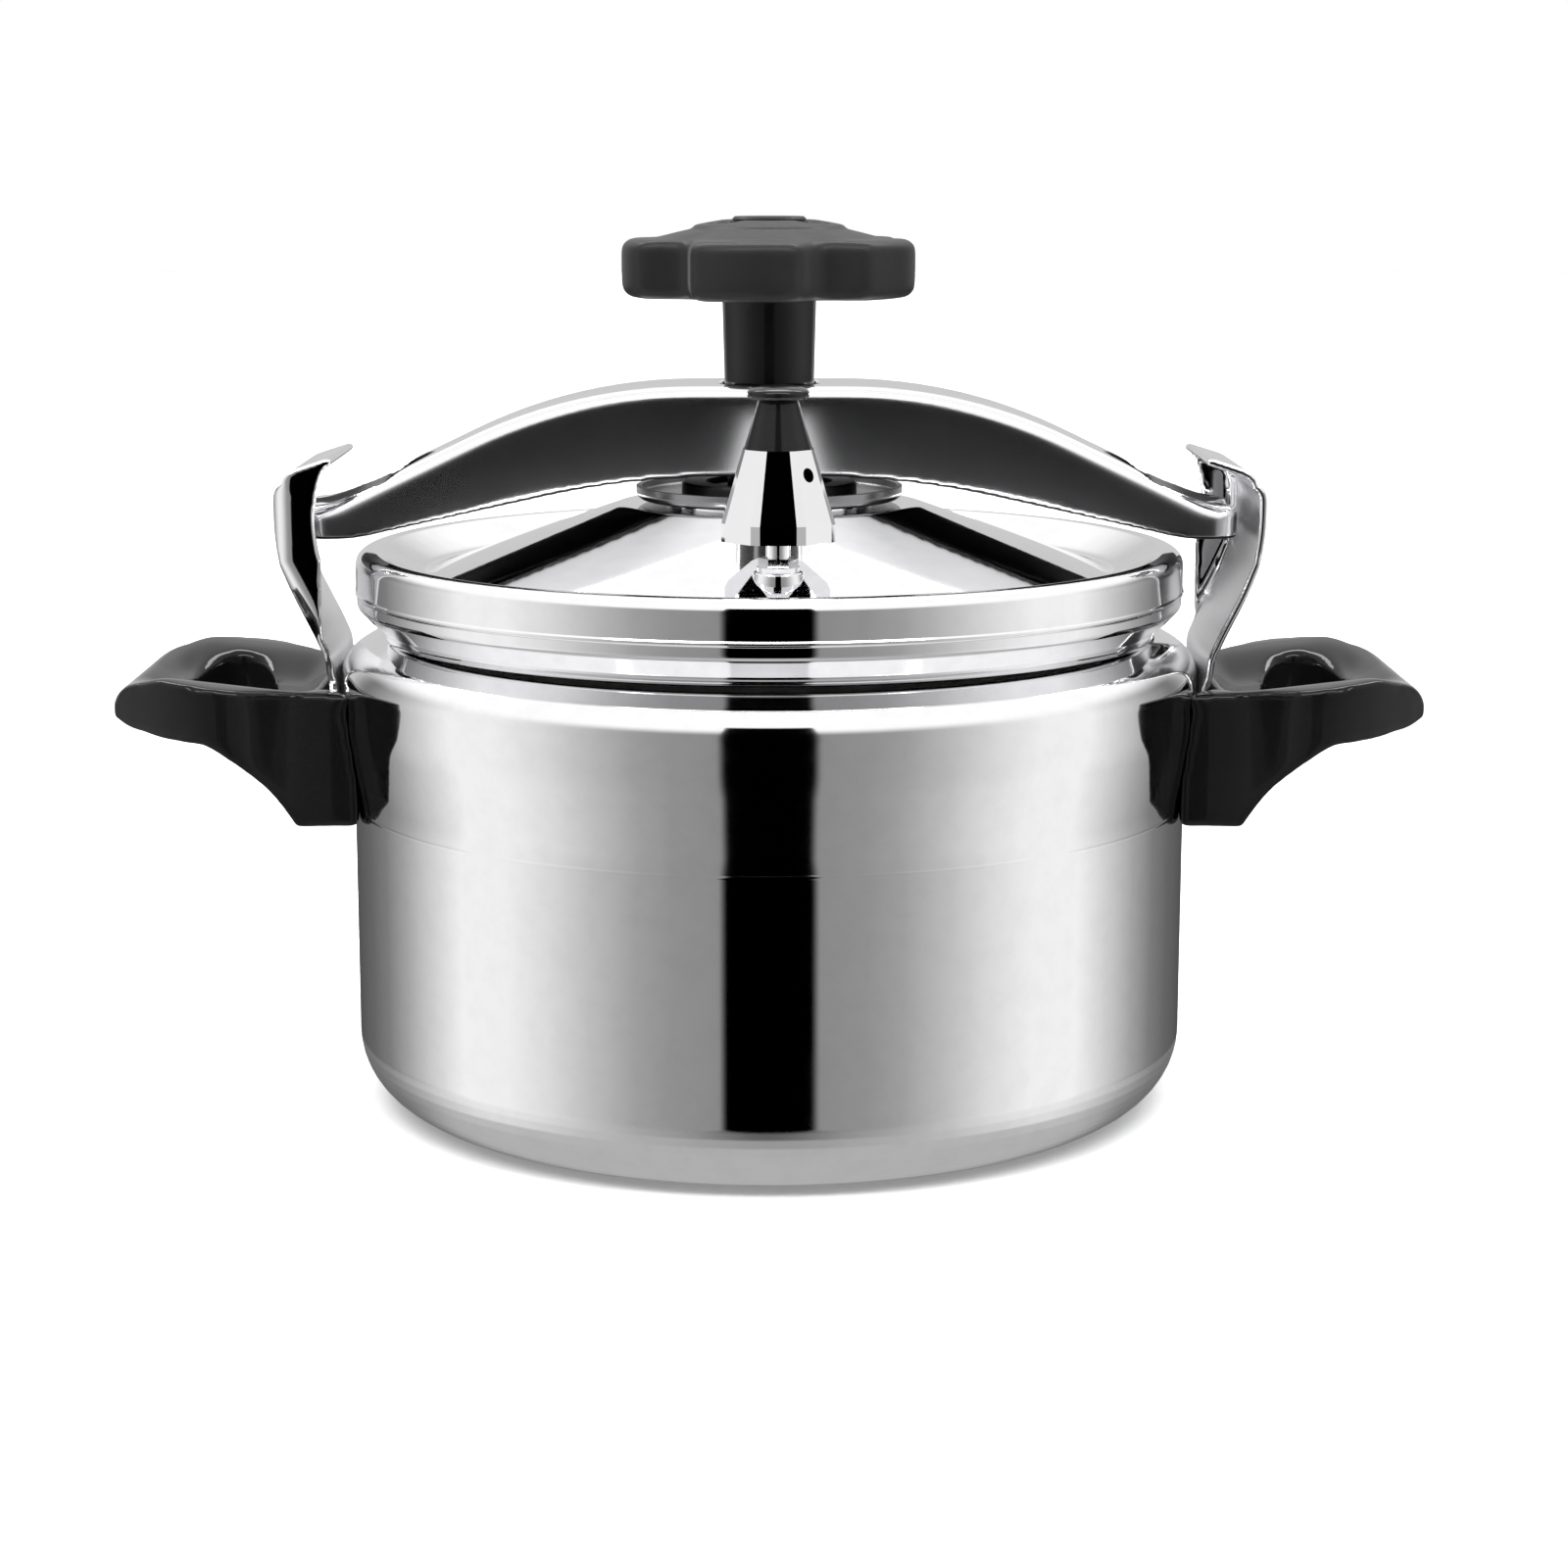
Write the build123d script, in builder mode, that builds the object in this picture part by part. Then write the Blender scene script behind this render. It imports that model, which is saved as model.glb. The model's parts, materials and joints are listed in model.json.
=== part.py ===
from build123d import *
import os
from math import asin, atan, cos, degrees, hypot, radians, sin

# Clamp-lid pressure canner: a spun aluminium pot, a domed lid with a gasket, and a steel beam
# that a knob and screw press up under two hooked brackets. Millimetres, +Z up, the origin at
# the middle of the base. The handles stand along X and the weighted valve stands at -Y.

os.makedirs("parts", exist_ok=True)

# ---- Pot ----
pot_radius = 110.0  # outside of the straight wall
pot_wall = 3.0
base_corner = 19.0  # outside radius between the base and the wall
wall_height = 80.8  # top of the straight wall
flare = 3.0  # how far the widest point stands out from the straight wall
flare_height = 24.7
shoulder_step = 12.0  # from the widest point in to the neck
shoulder_height = 20.0
neck_height = 12.5

# ---- Lid ----
lid_sheet = 2.0
lid_bends = (8.0, 8.0, 3.0, 3.2, 2.6)  # from the cone's top out to the lip
lip_clearance = 0.6  # between the lid's lip and the neck
lip_drop = 11.0  # the lip's edge below the neck's top
lip_height = 5.3  # the slanted lip below the skirt
lip_slant = 5.0
skirt_height = 14.0
crest_width = 6.0  # the flat top of the rim
rim_depth = 6.7  # from the crest down to the trough
rim_slope_width = 11.5
cone_rise = 18.4  # from the trough up to the flat top
cone_top_radius = 39.5
gasket_play = 0.3

# ---- Pressure plate, thrust cup and their ring ----
spacer_radius = 27.5
spacer_height = 1.0
plate_radius = 35.0
plate_sheet = 1.5
plate_rim = 3.5  # height of the plate's rim
rivet_radius = 4.0
rivet_head_radius = 7.5
rivet_head_height = 1.3
cup_flange_radius = 19.5
cup_flange_height = 1.8
cup_boss_radius = 11.0
cup_height = 9.2
cup_floor = 3.7  # from the plate up to the seat of the screw
ring_radius = 23.0
ring_lip = 3.2
turning_gap = 0.3  # between the thrust cup and what it turns in

# ---- Weighted valve ----
valve_offset = 69.0  # from the pot's axis
valve_turn = 1.8  # degrees, how far the valve stands round from -Y
pad_radius = 8.0
pad_rise = 0.7  # the pad's top above the cone at the valve's axis
pad_wall = 1.6
pipe_radius = 3.0
pipe_bore = 1.0
pipe_height = 19.4  # above the pad
pipe_tail = 14.0  # below the pad
nut_radius = 5.2
nut_height = 3.4
nut_collar_share = 0.35  # of the nut's height, which is round
nut_bevel = 0.3  # the hexagon's corners inside the collar
locknut_radius = 5.8
locknut_height = 4.0
seal_radius = 6.2
seal_height = 1.6
strainer_radius = 6.5
strainer_wall = 0.8
strainer_depth = 3.0  # below the pipe's foot
strainer_hole = 0.8
strainer_hole_place = 3.6
weight_corner_radius = 14.9
weight_lift_gap = 7.8  # the weight's underside above the pad
weight_base = 4.5
weight_cone = 17.6
weight_bevel = 1.3  # cut off the octagon's corners, along each side
weight_top_radius = 9.2
weight_bore_gap = 0.4
weight_jet_radius = 1.7
weight_jet_drop = 5.8  # the jet hole's axis below the weight's top
grip_height = 11.9
grip_foot_radius = 8.3
grip_neck_radius = 4.7
grip_cap_radius = 7.5
grip_cap_height = 3.3
grip_cap_edge = 0.8  # rounding of the cap's rim
plug_radius = 6.0
plug_stem_radius = 3.6
plug_height = 3.0
plug_tail_radius = 5.0

# ---- Hooked brackets ----
bracket_sheet = 2.0
bracket_width = 48.0
bracket_foot = 3.0  # the bracket's foot below the top of the straight wall
bracket_stem = 14.0  # above the widest point, before it leans out
bracket_lean = 12.8  # how far it leans out
bracket_lean_height = 25.3
hook_height = 20.5
hook_reach = 14.0
hook_rise = 4.5
stop_depth = 9.5  # the side stop's depth at the middle of the hook's height
stop_sheet = 2.0
stop_lap = 1.0  # how far the stop runs into the strip
stop_foot_rise = 4.0  # the stop's foot above the lean's foot
stop_start_drop = 5.0  # where the stop is deepest, below the hook's corner
bracket_bends = (6.0, 8.0, 2.5)  # bend radii from the foot up to the hook
stop_side_gap = 3.0  # between the stop and the beam's side
rivet_spacing_angle = 13.0
rivet_height = 17.0  # above the top of the straight wall
wall_rivet_radius = 2.5
wall_rivet_head = 4.6
wall_rivet_height = 1.6

# ---- Clamp beam ----
beam_sheet = 2.0
beam_end_gap = 4.3  # between the beam's end and the bracket
beam_crown = 26.9  # the crown's top above the pressure plate's rim
beam_arch = 31.2  # from the crown down to the end's top
beam_depth = 23.2  # of the side flanges at the crown
beam_end_depth = 8.2
beam_edge = 4.0  # rounding of the long top edges
beam_corner = 6.0
beam_end_bend = 22.0  # radius where the top's slope turns into the flat end
beam_end_flat = 1.0
lower_end_bend = 50.0
lower_end_flat = 8.0
roof_end_bend = 12.0
roof_end_flat = 0.5
dish_back = 8.0  # from the beam's end in to the dish
crown_flat = 20.0
lower_flat = 11.0
dish_radius = 30.0
dish_depth = 2.2
solid_end = 20.0  # the stretch at each end that isn't hollow
hub_hole_gap = 1.2
bridge_length = 44.0
bridge_sheet = 3.0
bridge_height = 12.2  # above the plate's floor
bush_radius = 10.0
bush_flange = 13.0
bush_flange_height = 2.5
bush_height = 10.0

# ---- Screw, hub and knob ----
screw_radius = 6.0
thread_gap = 0.05
screw_seat_gap = 0.1  # between the screw's tip and the cup's floor
screw_stand = 0.6  # the screw's end above the knob's nut
screw_tip_bevel = 0.8
cap_gap = 0.4  # between the screw's end and the knob's cap
cap_bevel = 0.6
hub_radius = 12.3
hub_foot_radius = 11.7
hub_length = 23.2
hub_sink = 1.2  # how far the hub's foot stands inside the crown's hole
knob_radius = 38.4
knob_edge = 16.0
knob_dome = 4.7
knob_corner = 3.5
lobe_count = 5
lobe_turn = 10.0  # degrees, the front lobe's turn from -Y
scallop_radius = 14.0
scallop_depth = 5.0
scallop_edge = 5.0
knob_web = 12.0  # from the knob's underside up to the nut's seat
knob_nut_radius = 8.6
knob_nut_height = 4.5
knob_socket_radius = 9.6

# ---- Handles ----
handle_reach = 63.0  # beyond the pot's wall
handle_height = 35.0
handle_half_width = 45.5
handle_block_half = 33.0
handle_foot = 4.0  # the block's underside below the top of the straight wall
finger_gap_long = 27.0
finger_gap_short = 11.0
finger_gap_place = 33.5  # from the wall to the middle of the gap
bracket_slot_gap = 0.4
handle_screw_radius = 2.5
handle_under_reach = 12.0  # along the block's underside
handle_under_rise = 0.5
handle_web_middle = (20.5, 13.5)  # reach and height at the middle of the arched web
handle_web_end = (33.5, 23.7)
handle_wing_back = 11.0  # from the tip back to the wing's straight underside
handle_wing_rise = 24.6
handle_tip_rise = 33.0
handle_lip_back = 8.0
handle_lip_rise = 6.0  # above the block's top
handle_crown_reach = 22.0
handle_crown_rise = 2.5
handle_crown_start = 2.0
handle_widest_reach = 30.0
handle_corner_back = 9.0  # from the tip back to the rounded corner
handle_corner_share = 0.75  # of the half width, at the rounded corner
handle_nut_gap = 0.3  # around and behind the nut
handle_screw_gap = 0.2
washer_gap = 0.5
screw_slot_width = 1.1
screw_slot_depth = 1.4
handle_screw_cap = 3.2  # height of the screw's head
handle_screw_head = 4.6
handle_screw_height = 8.3  # above the block's underside
handle_boss_radius = 6.0
handle_boss_reach = 17.0  # beyond the wall
handle_nut_side = 10.0
handle_nut_height = 4.5
washer_radius = 5.4
washer_sheet = 1.0

# ---- Derived places ----
widest_radius = pot_radius + flare
widest_z = wall_height + flare_height
shoulder_top_z = widest_z + shoulder_height
neck_radius = widest_radius - shoulder_step
neck_top_z = shoulder_top_z + neck_height
flare_angle = atan(flare / flare_height)

lip_z = neck_top_z - lip_drop
skirt_z = lip_z + lip_height
crest_z = skirt_z + skirt_height
trough_z = crest_z - rim_depth
lip_radius = neck_radius + lip_clearance
skirt_radius = lip_radius + lip_slant + lid_sheet
crest_inner = skirt_radius - crest_width
trough_radius = crest_inner - rim_slope_width
lid_top_z = trough_z + cone_rise
plate_z = lid_top_z + spacer_height
cone_slope = cone_rise / (trough_radius - cone_top_radius)

plate_floor_z = plate_z + plate_sheet
plate_top_z = plate_z + plate_rim
screw_seat_z = plate_floor_z + cup_floor

bracket_face = widest_radius  # inner face of the upright stem
lean_foot_z = widest_z + bracket_stem
lean_top_z = lean_foot_z + bracket_lean_height
hook_face = bracket_face + bracket_lean
hook_corner_z = lean_top_z + hook_height
hook_tip = hook_face - hook_reach
hook_tip_z = hook_corner_z + hook_rise

beam_reach = hook_face - beam_end_gap
crown_z = plate_top_z + beam_crown
beam_end_z = crown_z - beam_arch
beam_low_z = crown_z - beam_depth
beam_low_end_z = beam_end_z - beam_end_depth
bridge_z = plate_floor_z + bridge_height

hub_z = crown_z - hub_sink
knob_z = hub_z + hub_length
knob_seat_z = knob_z + knob_web
knob_top_z = knob_z + knob_edge + knob_dome


def cone_z(radius):
    """Height of the lid's cone at a distance from the axis."""
    return trough_z + cone_slope * (trough_radius - radius)


valve_angle = radians(valve_turn)
valve_place = (valve_offset * sin(valve_angle), -valve_offset * cos(valve_angle))
plug_place = (-valve_place[0], -valve_place[1])
pad_z = cone_z(valve_offset) + pad_rise
pad_foot_z = cone_z(valve_offset + seal_radius) - lid_sheet * hypot(1, cone_slope)
pad_depth = pad_z - pad_foot_z
weight_z = pad_z + weight_lift_gap
pipe_top_z = pad_z + pipe_height

handle_z = wall_height - handle_foot
handle_screw_z = handle_z + handle_screw_height


def save(part, name):
    """Label a finished piece and write it as its own node."""
    part.label = name
    export_step(part, f"parts/{name}.step")


def save_pair(part, name):
    """Write the right-hand piece, and the same piece given a half turn for the left."""
    for side, turn in (("right", 0), ("left", 180)):
        with BuildPart() as piece:
            add(part, rotation=(0, 0, turn))
        save(piece.part, f"{name}_{side}")


def wall_radius_at(height):
    """Outside radius of the flared stretch of the wall."""
    return pot_radius + (height - wall_height) * flare / flare_height


def pot_outline(inset):
    """Half outline of the pot from the axis to the neck's top, moved inwards by inset."""
    radius = pot_radius - inset
    base = Line((0, inset), (pot_radius - base_corner, inset))
    corner = JernArc(base @ 1, (1, 0), base_corner - inset, 90)
    wall = Line(corner @ 1, (radius, wall_height))
    belly = Line(wall @ 1, (radius + flare, widest_z))
    foot = (neck_radius - inset, shoulder_top_z - inset / 2)
    shoulder = Spline(belly @ 1, foot, tangents=((0, 1), (-1, 0.55)), tangent_scalars=(1.4, 1.1))
    return Line(shoulder @ 1, (neck_radius - inset, neck_top_z))


# ---- Pot body: one spun shell, with its rivet holes ----
def wall_plane(angle, height):
    """Plane on the flared wall, facing outwards, at an angle from +X."""
    radius = wall_radius_at(height)
    turn = Vector(cos(flare_angle), 0, -sin(flare_angle)).rotate(Axis.Z, angle)
    side = Vector(0, 1, 0).rotate(Axis.Z, angle)
    return Plane(origin=Vector(radius, 0, height).rotate(Axis.Z, angle), x_dir=side, z_dir=turn)


rivet_angles = (-rivet_spacing_angle / 2, rivet_spacing_angle / 2)
rivet_z = wall_height + rivet_height

with BuildPart() as pot_body:
    with BuildSketch(Plane.XZ):
        with BuildLine():
            outer = pot_outline(0)
            inner = pot_outline(pot_wall)
            Line(outer @ 1, inner @ 1)
            Line((0, 0), (0, pot_wall))
        make_face()
    revolve(axis=Axis.Z)
    for half_turn in (0, 180):
        for angle in rivet_angles:
            with BuildSketch(wall_plane(angle + half_turn, rivet_z)):
                Circle(wall_rivet_radius)
            extrude(amount=pot_wall * 2, both=True, mode=Mode.SUBTRACT)
save(pot_body.part, "pot_body")

# ---- Hooked brackets: a curved foot on the wall, a straight stem, a hook and a side stop ----
foot_z = wall_height - bracket_foot
bend_z = widest_z + 1.0  # where the curved foot starts to turn into the straight stem
stem_z = bend_z + bracket_stem * 0.6
lean_slope = bracket_lean / bracket_lean_height
stop_foot_x = bracket_face + lean_slope * stop_foot_rise + stop_lap
half_angle = degrees(asin(bracket_width / 2 / widest_radius))

strip_points = [
    (bracket_face, stem_z),
    (bracket_face, lean_foot_z),
    (hook_face, lean_top_z),
    (hook_face, hook_corner_z),
    (hook_tip, hook_tip_z),
]

with BuildPart() as bracket:
    with BuildSketch(Plane.XZ):
        with BuildLine():
            wall_line = Polyline(
                (pot_radius, foot_z),
                (pot_radius, wall_height),
                (widest_radius, widest_z),
                (widest_radius, bend_z),
            )
            outer_line = Polyline(
                (pot_radius + bracket_sheet, foot_z),
                (pot_radius + bracket_sheet, wall_height),
                (widest_radius + bracket_sheet, widest_z),
                (widest_radius + bracket_sheet, bend_z),
            )
            Line(wall_line @ 0, outer_line @ 0)
            Line(wall_line @ 1, outer_line @ 1)
        make_face()
    revolve(axis=Axis.Z, revolution_arc=half_angle)
    mirror(about=Plane.XZ)
    with BuildSketch(Plane.XY.offset(bend_z)):
        with BuildLine():
            inner_arc = CenterArc((0, 0), widest_radius, -half_angle, 2 * half_angle)
            outer_arc = CenterArc((0, 0), widest_radius + bracket_sheet, -half_angle, 2 * half_angle)
            Line(inner_arc @ 0, outer_arc @ 0)
            Line(inner_arc @ 1, outer_arc @ 1)
        make_face()
    with BuildSketch(Plane.XY.offset(stem_z)):
        with Locations((bracket_face + bracket_sheet / 2, 0)):
            Rectangle(bracket_sheet, bracket_width)
    loft(ruled=True)
    with BuildSketch(Plane.XZ):
        with BuildLine():
            strip = FilletPolyline(*strip_points, radius=bracket_bends)
            offset(strip, amount=bracket_sheet, side=Side.RIGHT)
        make_face()
    extrude(amount=bracket_width / 2, both=True)
    with BuildSketch(Plane.XZ.offset(-bracket_width / 2)):
        with BuildLine():
            stop_back = Polyline(
                (hook_tip + stop_lap, hook_tip_z + stop_lap),
                (hook_face + stop_lap, hook_corner_z + stop_lap),
                (hook_face + stop_lap, lean_top_z),
                (stop_foot_x, lean_foot_z + stop_foot_rise),
            )
            Spline(
                stop_back @ 0,
                (hook_face - stop_depth, hook_corner_z - stop_start_drop),
                (hook_face - stop_depth, lean_top_z),
                stop_back @ 1,
            )
        make_face()
    extrude(amount=stop_sheet)
    for angle in rivet_angles:
        with BuildSketch(wall_plane(angle, rivet_z)):
            Circle(wall_rivet_radius)
        extrude(amount=pot_wall * 2, both=True, mode=Mode.SUBTRACT)
save_pair(bracket.part, "bracket")

# ---- Rivets that hold a bracket's foot to the wall: two to a side in one group ----
head_sag = wall_rivet_head**2 / (2 * (pot_radius - pot_wall))  # the wall's curve under a head
with BuildPart() as bracket_rivets:
    for angle in rivet_angles:
        outside_plane = wall_plane(angle, rivet_z)
        with BuildSketch(outside_plane.offset(-pot_wall - head_sag)):
            Circle(wall_rivet_radius)
        extrude(amount=pot_wall + head_sag + bracket_sheet)
        with BuildSketch(outside_plane.offset(-pot_wall - head_sag)):
            Circle(wall_rivet_head)
        extrude(amount=-wall_rivet_height, taper=25)
        with BuildSketch(outside_plane.offset(bracket_sheet)):
            Circle(wall_rivet_head)
        extrude(amount=wall_rivet_height, taper=25)
save_pair(bracket_rivets.part, "bracket_rivets")

# ---- Handles: a block against the wall and a wing with a gap for the fingers ----
boss_end = pot_radius + handle_boss_reach
handle_lap = pot_wall + 1.0  # how far the outline runs inside the wall before it is cut
over = 1.0  # how far a cut runs past the face it opens
nut_face = wall_radius_at(handle_screw_z + handle_nut_side / 2) + bracket_sheet


def handle_point(reach, height):
    """A point of the handle's side outline, from the wall and the block's underside."""
    return (pot_radius + reach, handle_z + height)


with BuildPart() as handle:
    with BuildSketch(Plane.XZ):
        with BuildLine():
            under = Line(
                handle_point(-handle_lap, 0), handle_point(handle_under_reach, handle_under_rise)
            )
            web = ThreePointArc(
                under @ 1, handle_point(*handle_web_middle), handle_point(*handle_web_end)
            )
            wing = Line(web @ 1, handle_point(handle_reach - handle_wing_back, handle_wing_rise))
            tip = handle_point(handle_reach, handle_tip_rise)
            lip = handle_point(handle_reach - handle_lip_back, handle_height + handle_lip_rise)
            nose = ThreePointArc(wing @ 1, tip, lip)
            crown_line = Spline(
                nose @ 1,
                handle_point(handle_crown_reach, handle_height + handle_crown_rise),
                handle_point(handle_crown_start, handle_height),
            )
            shoulder_line = Line(crown_line @ 1, handle_point(-handle_lap, handle_height))
            Line(shoulder_line @ 1, under @ 0)
        make_face()
    extrude(amount=handle_half_width, both=True)
    with BuildSketch(Plane.XY.offset(handle_z - over)):
        with BuildLine():
            back_x = pot_radius - handle_lap - over
            back = Line((back_x, 0), (back_x, handle_block_half))
            Spline(
                back @ 1,
                (pot_radius + handle_widest_reach, handle_half_width),
                (
                    pot_radius + handle_reach - handle_corner_back,
                    handle_half_width * handle_corner_share,
                ),
                (pot_radius + handle_reach, 0),
                tangents=((1, 0), (0, -1)),
            )
            mirror(about=Plane.XZ)
        make_face()
    extrude(amount=handle_height + handle_tip_rise, mode=Mode.INTERSECT)
    with BuildSketch(Plane.XY.offset(handle_z - over)):
        with Locations((pot_radius + finger_gap_place, 0)):
            Ellipse(finger_gap_short, finger_gap_long)
    extrude(amount=handle_height + handle_tip_rise, mode=Mode.SUBTRACT)
    with BuildSketch(Plane.YZ.offset(pot_radius + handle_under_reach / 2)):
        with Locations((0, handle_screw_z)):
            Circle(handle_boss_radius)
    extrude(amount=handle_boss_reach - handle_under_reach / 2)
    with BuildSketch(Plane.YZ.offset(boss_end)):
        with Locations((0, handle_screw_z)):
            Circle(washer_radius + washer_gap)
    extrude(amount=handle_boss_reach, mode=Mode.SUBTRACT)
    with BuildSketch(Plane.XZ):
        with BuildLine():
            outside = pot_outline(0)
            Polyline(outside @ 1, (0, neck_top_z), (0, 0))
        make_face()
    revolve(axis=Axis.Z, mode=Mode.SUBTRACT)
    with BuildSketch(Plane.XY.offset(handle_z - over)):
        with Locations((pot_radius, 0)):
            slot_half = flare + bracket_sheet + wall_rivet_height + bracket_slot_gap
            Rectangle(2 * slot_half, bracket_width + 2 * bracket_slot_gap)
    extrude(amount=handle_height + handle_tip_rise, mode=Mode.SUBTRACT)
    with BuildSketch(Plane.YZ.offset(pot_radius)):
        with Locations((0, handle_screw_z)):
            nut_pocket = handle_nut_side + 2 * handle_nut_gap
            Rectangle(nut_pocket, nut_pocket)
    pocket_end = nut_face + handle_nut_height + handle_nut_gap
    extrude(amount=pocket_end - pot_radius, mode=Mode.SUBTRACT)
    with BuildSketch(Plane.YZ.offset(pot_radius)):
        with Locations((0, handle_screw_z)):
            Circle(handle_screw_radius + handle_screw_gap)
    extrude(amount=handle_boss_reach + over, mode=Mode.SUBTRACT)
save_pair(handle.part, "handle")

# ---- Handle fixings: a nut welded to the bracket's foot, a screw and its washer ----
with BuildPart() as handle_nut:
    with BuildSketch(Plane.YZ.offset(nut_face)):
        with Locations((0, handle_screw_z)):
            Rectangle(handle_nut_side, handle_nut_side)
            Circle(handle_screw_radius, mode=Mode.SUBTRACT)
    extrude(amount=handle_nut_height)
save_pair(handle_nut.part, "handle_nut")

with BuildPart() as handle_washer:
    with BuildSketch(Plane.YZ.offset(boss_end)):
        with Locations((0, handle_screw_z)):
            Circle(washer_radius)
            Circle(handle_screw_radius, mode=Mode.SUBTRACT)
    extrude(amount=washer_sheet)
save_pair(handle_washer.part, "handle_washer")

with BuildPart() as handle_screw:
    with BuildSketch(Plane.YZ.offset(nut_face + washer_gap)):
        with Locations((0, handle_screw_z)):
            Circle(handle_screw_radius)
    extrude(amount=boss_end + washer_sheet - nut_face - washer_gap)
    with BuildSketch(Plane.YZ.offset(boss_end + washer_sheet)):
        with Locations((0, handle_screw_z)):
            Circle(handle_screw_head)
    extrude(amount=handle_screw_cap, taper=15)
    with BuildSketch(Plane.YZ.offset(boss_end + washer_sheet + handle_screw_cap)):
        with Locations((0, handle_screw_z)):
            Rectangle(screw_slot_width, 2 * handle_screw_head)
    extrude(amount=-screw_slot_depth, mode=Mode.SUBTRACT)
save_pair(handle_screw.part, "handle_screw")

# ---- Lid: one pressed sheet, with a flat pad for the valve and one for the safety plug ----
lid_points = [
    (0, lid_top_z),
    (cone_top_radius, lid_top_z),
    (trough_radius, trough_z),
    (crest_inner, crest_z),
    (skirt_radius, crest_z),
    (skirt_radius, skirt_z),
    (lip_radius + lid_sheet * 0.8, lip_z),
]

with BuildPart() as lid_cover:
    with BuildSketch(Plane.XZ):
        with BuildLine():
            sheet_line = FilletPolyline(*lid_points, radius=lid_bends)
            offset(sheet_line, amount=lid_sheet, side=Side.RIGHT)
        make_face()
    revolve(axis=Axis.Z)
    with BuildSketch(Plane.XY.offset(pad_z - pad_depth)):
        with Locations(valve_place, plug_place):
            Circle(pad_radius + pad_wall)
    extrude(amount=2 * pad_depth + pad_radius)
    with BuildSketch(Plane.XZ):
        with BuildLine():
            pad_inner = valve_offset - pad_radius - 2 * pad_wall
            pad_outer = valve_offset + pad_radius + 2 * pad_wall
            over = Line((pad_inner, cone_z(pad_inner)), (pad_outer, cone_z(pad_outer)))
            sky_z = pad_z + 3 * pad_radius
            Polyline(over @ 1, (pad_outer, sky_z), (pad_inner, sky_z), over @ 0)
        make_face()
    revolve(axis=Axis.Z, mode=Mode.SUBTRACT)
    with BuildSketch(Plane.XY.offset(pad_z - pad_depth)):
        with Locations(valve_place, plug_place):
            Circle(pad_radius)
    extrude(amount=pad_depth)
    with BuildSketch(Plane.XY.offset(pad_z)):
        with Locations(valve_place, plug_place):
            Circle(pad_radius)
    extrude(amount=pad_radius, mode=Mode.SUBTRACT)
    with BuildSketch(Plane.XY.offset(pad_z - 2 * pad_depth)):
        with Locations(valve_place):
            Circle(pipe_radius)
        with Locations(plug_place):
            Circle(plug_stem_radius)
    extrude(amount=3 * pad_depth, mode=Mode.SUBTRACT)
    with BuildSketch(Plane.XY.offset(lid_top_z)):
        Circle(rivet_radius)
    extrude(amount=-2 * lid_sheet, mode=Mode.SUBTRACT)
save(lid_cover.part, "lid_cover")

# ---- Gasket: a rubber ring that lies on the neck's top, under the lid's rim ----
gasket_inner = neck_radius - pot_wall + 0.4
gasket_outer = skirt_radius - lid_sheet - 0.6
rim_rise = rim_depth / rim_slope_width
rim_shift = lid_sheet * hypot(1, rim_rise)


def rim_underside(radius):
    """Height of the sloping rim's underside, less the gasket's play."""
    return trough_z + (radius - trough_radius) * rim_rise - rim_shift - gasket_play


gasket_top = crest_z - lid_sheet - gasket_play
with BuildPart() as lid_gasket:
    with BuildSketch(Plane.XZ):
        with BuildLine():
            Polyline(
                (gasket_inner, neck_top_z),
                (gasket_outer, neck_top_z),
                (gasket_outer, gasket_top - 1.0),
                (gasket_outer - 1.0, gasket_top),
                (crest_inner + 1.5, gasket_top),
                (gasket_inner, rim_underside(gasket_inner)),
                close=True,
            )
        make_face()
    revolve(axis=Axis.Z)
save(lid_gasket.part, "lid_gasket")

# ---- Pressure plate on its spacer, their rivet, and the ring that keeps the thrust cup ----
with BuildPart() as plate_spacer:
    with BuildSketch(Plane.XY.offset(lid_top_z)):
        Circle(spacer_radius)
        Circle(rivet_radius, mode=Mode.SUBTRACT)
    extrude(amount=spacer_height)
save(plate_spacer.part, "plate_spacer")

with BuildPart() as pressure_plate:
    with BuildSketch(Plane.XZ):
        with BuildLine():
            dish = FilletPolyline(
                (rivet_radius, plate_z),
                (plate_radius, plate_z),
                (plate_radius, plate_top_z),
                radius=2.0,
            )
            offset(dish, amount=plate_sheet, side=Side.LEFT)
        make_face()
    revolve(axis=Axis.Z)
save(pressure_plate.part, "pressure_plate")

with BuildPart() as plate_rivet:
    with BuildSketch(Plane.XY.offset(lid_top_z - lid_sheet)):
        Circle(rivet_radius)
    extrude(amount=lid_sheet + spacer_height + plate_sheet)
    with BuildSketch(Plane.XY.offset(plate_floor_z)):
        Circle(rivet_head_radius)
    extrude(amount=rivet_head_height, taper=20)
    with BuildSketch(Plane.XY.offset(lid_top_z - lid_sheet)):
        Circle(rivet_head_radius)
    extrude(amount=-2 * rivet_head_height, taper=25)
save(plate_rivet.part, "plate_rivet")

ring_inner = cup_flange_radius + turning_gap
ring_seat = plate_floor_z + cup_flange_height + turning_gap
with BuildPart() as retaining_ring:
    with BuildSketch(Plane.XZ):
        with BuildLine():
            Polyline(
                (ring_inner, plate_floor_z),
                (ring_radius, plate_floor_z),
                (ring_radius, ring_seat + 0.4),
                (ring_radius - 0.6, ring_seat + 1.0),
                (ring_inner - ring_lip, ring_seat + 1.0),
                (ring_inner - ring_lip, ring_seat),
                (ring_inner, ring_seat),
                close=True,
            )
        make_face()
    revolve(axis=Axis.Z)
save(retaining_ring.part, "retaining_ring")

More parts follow.
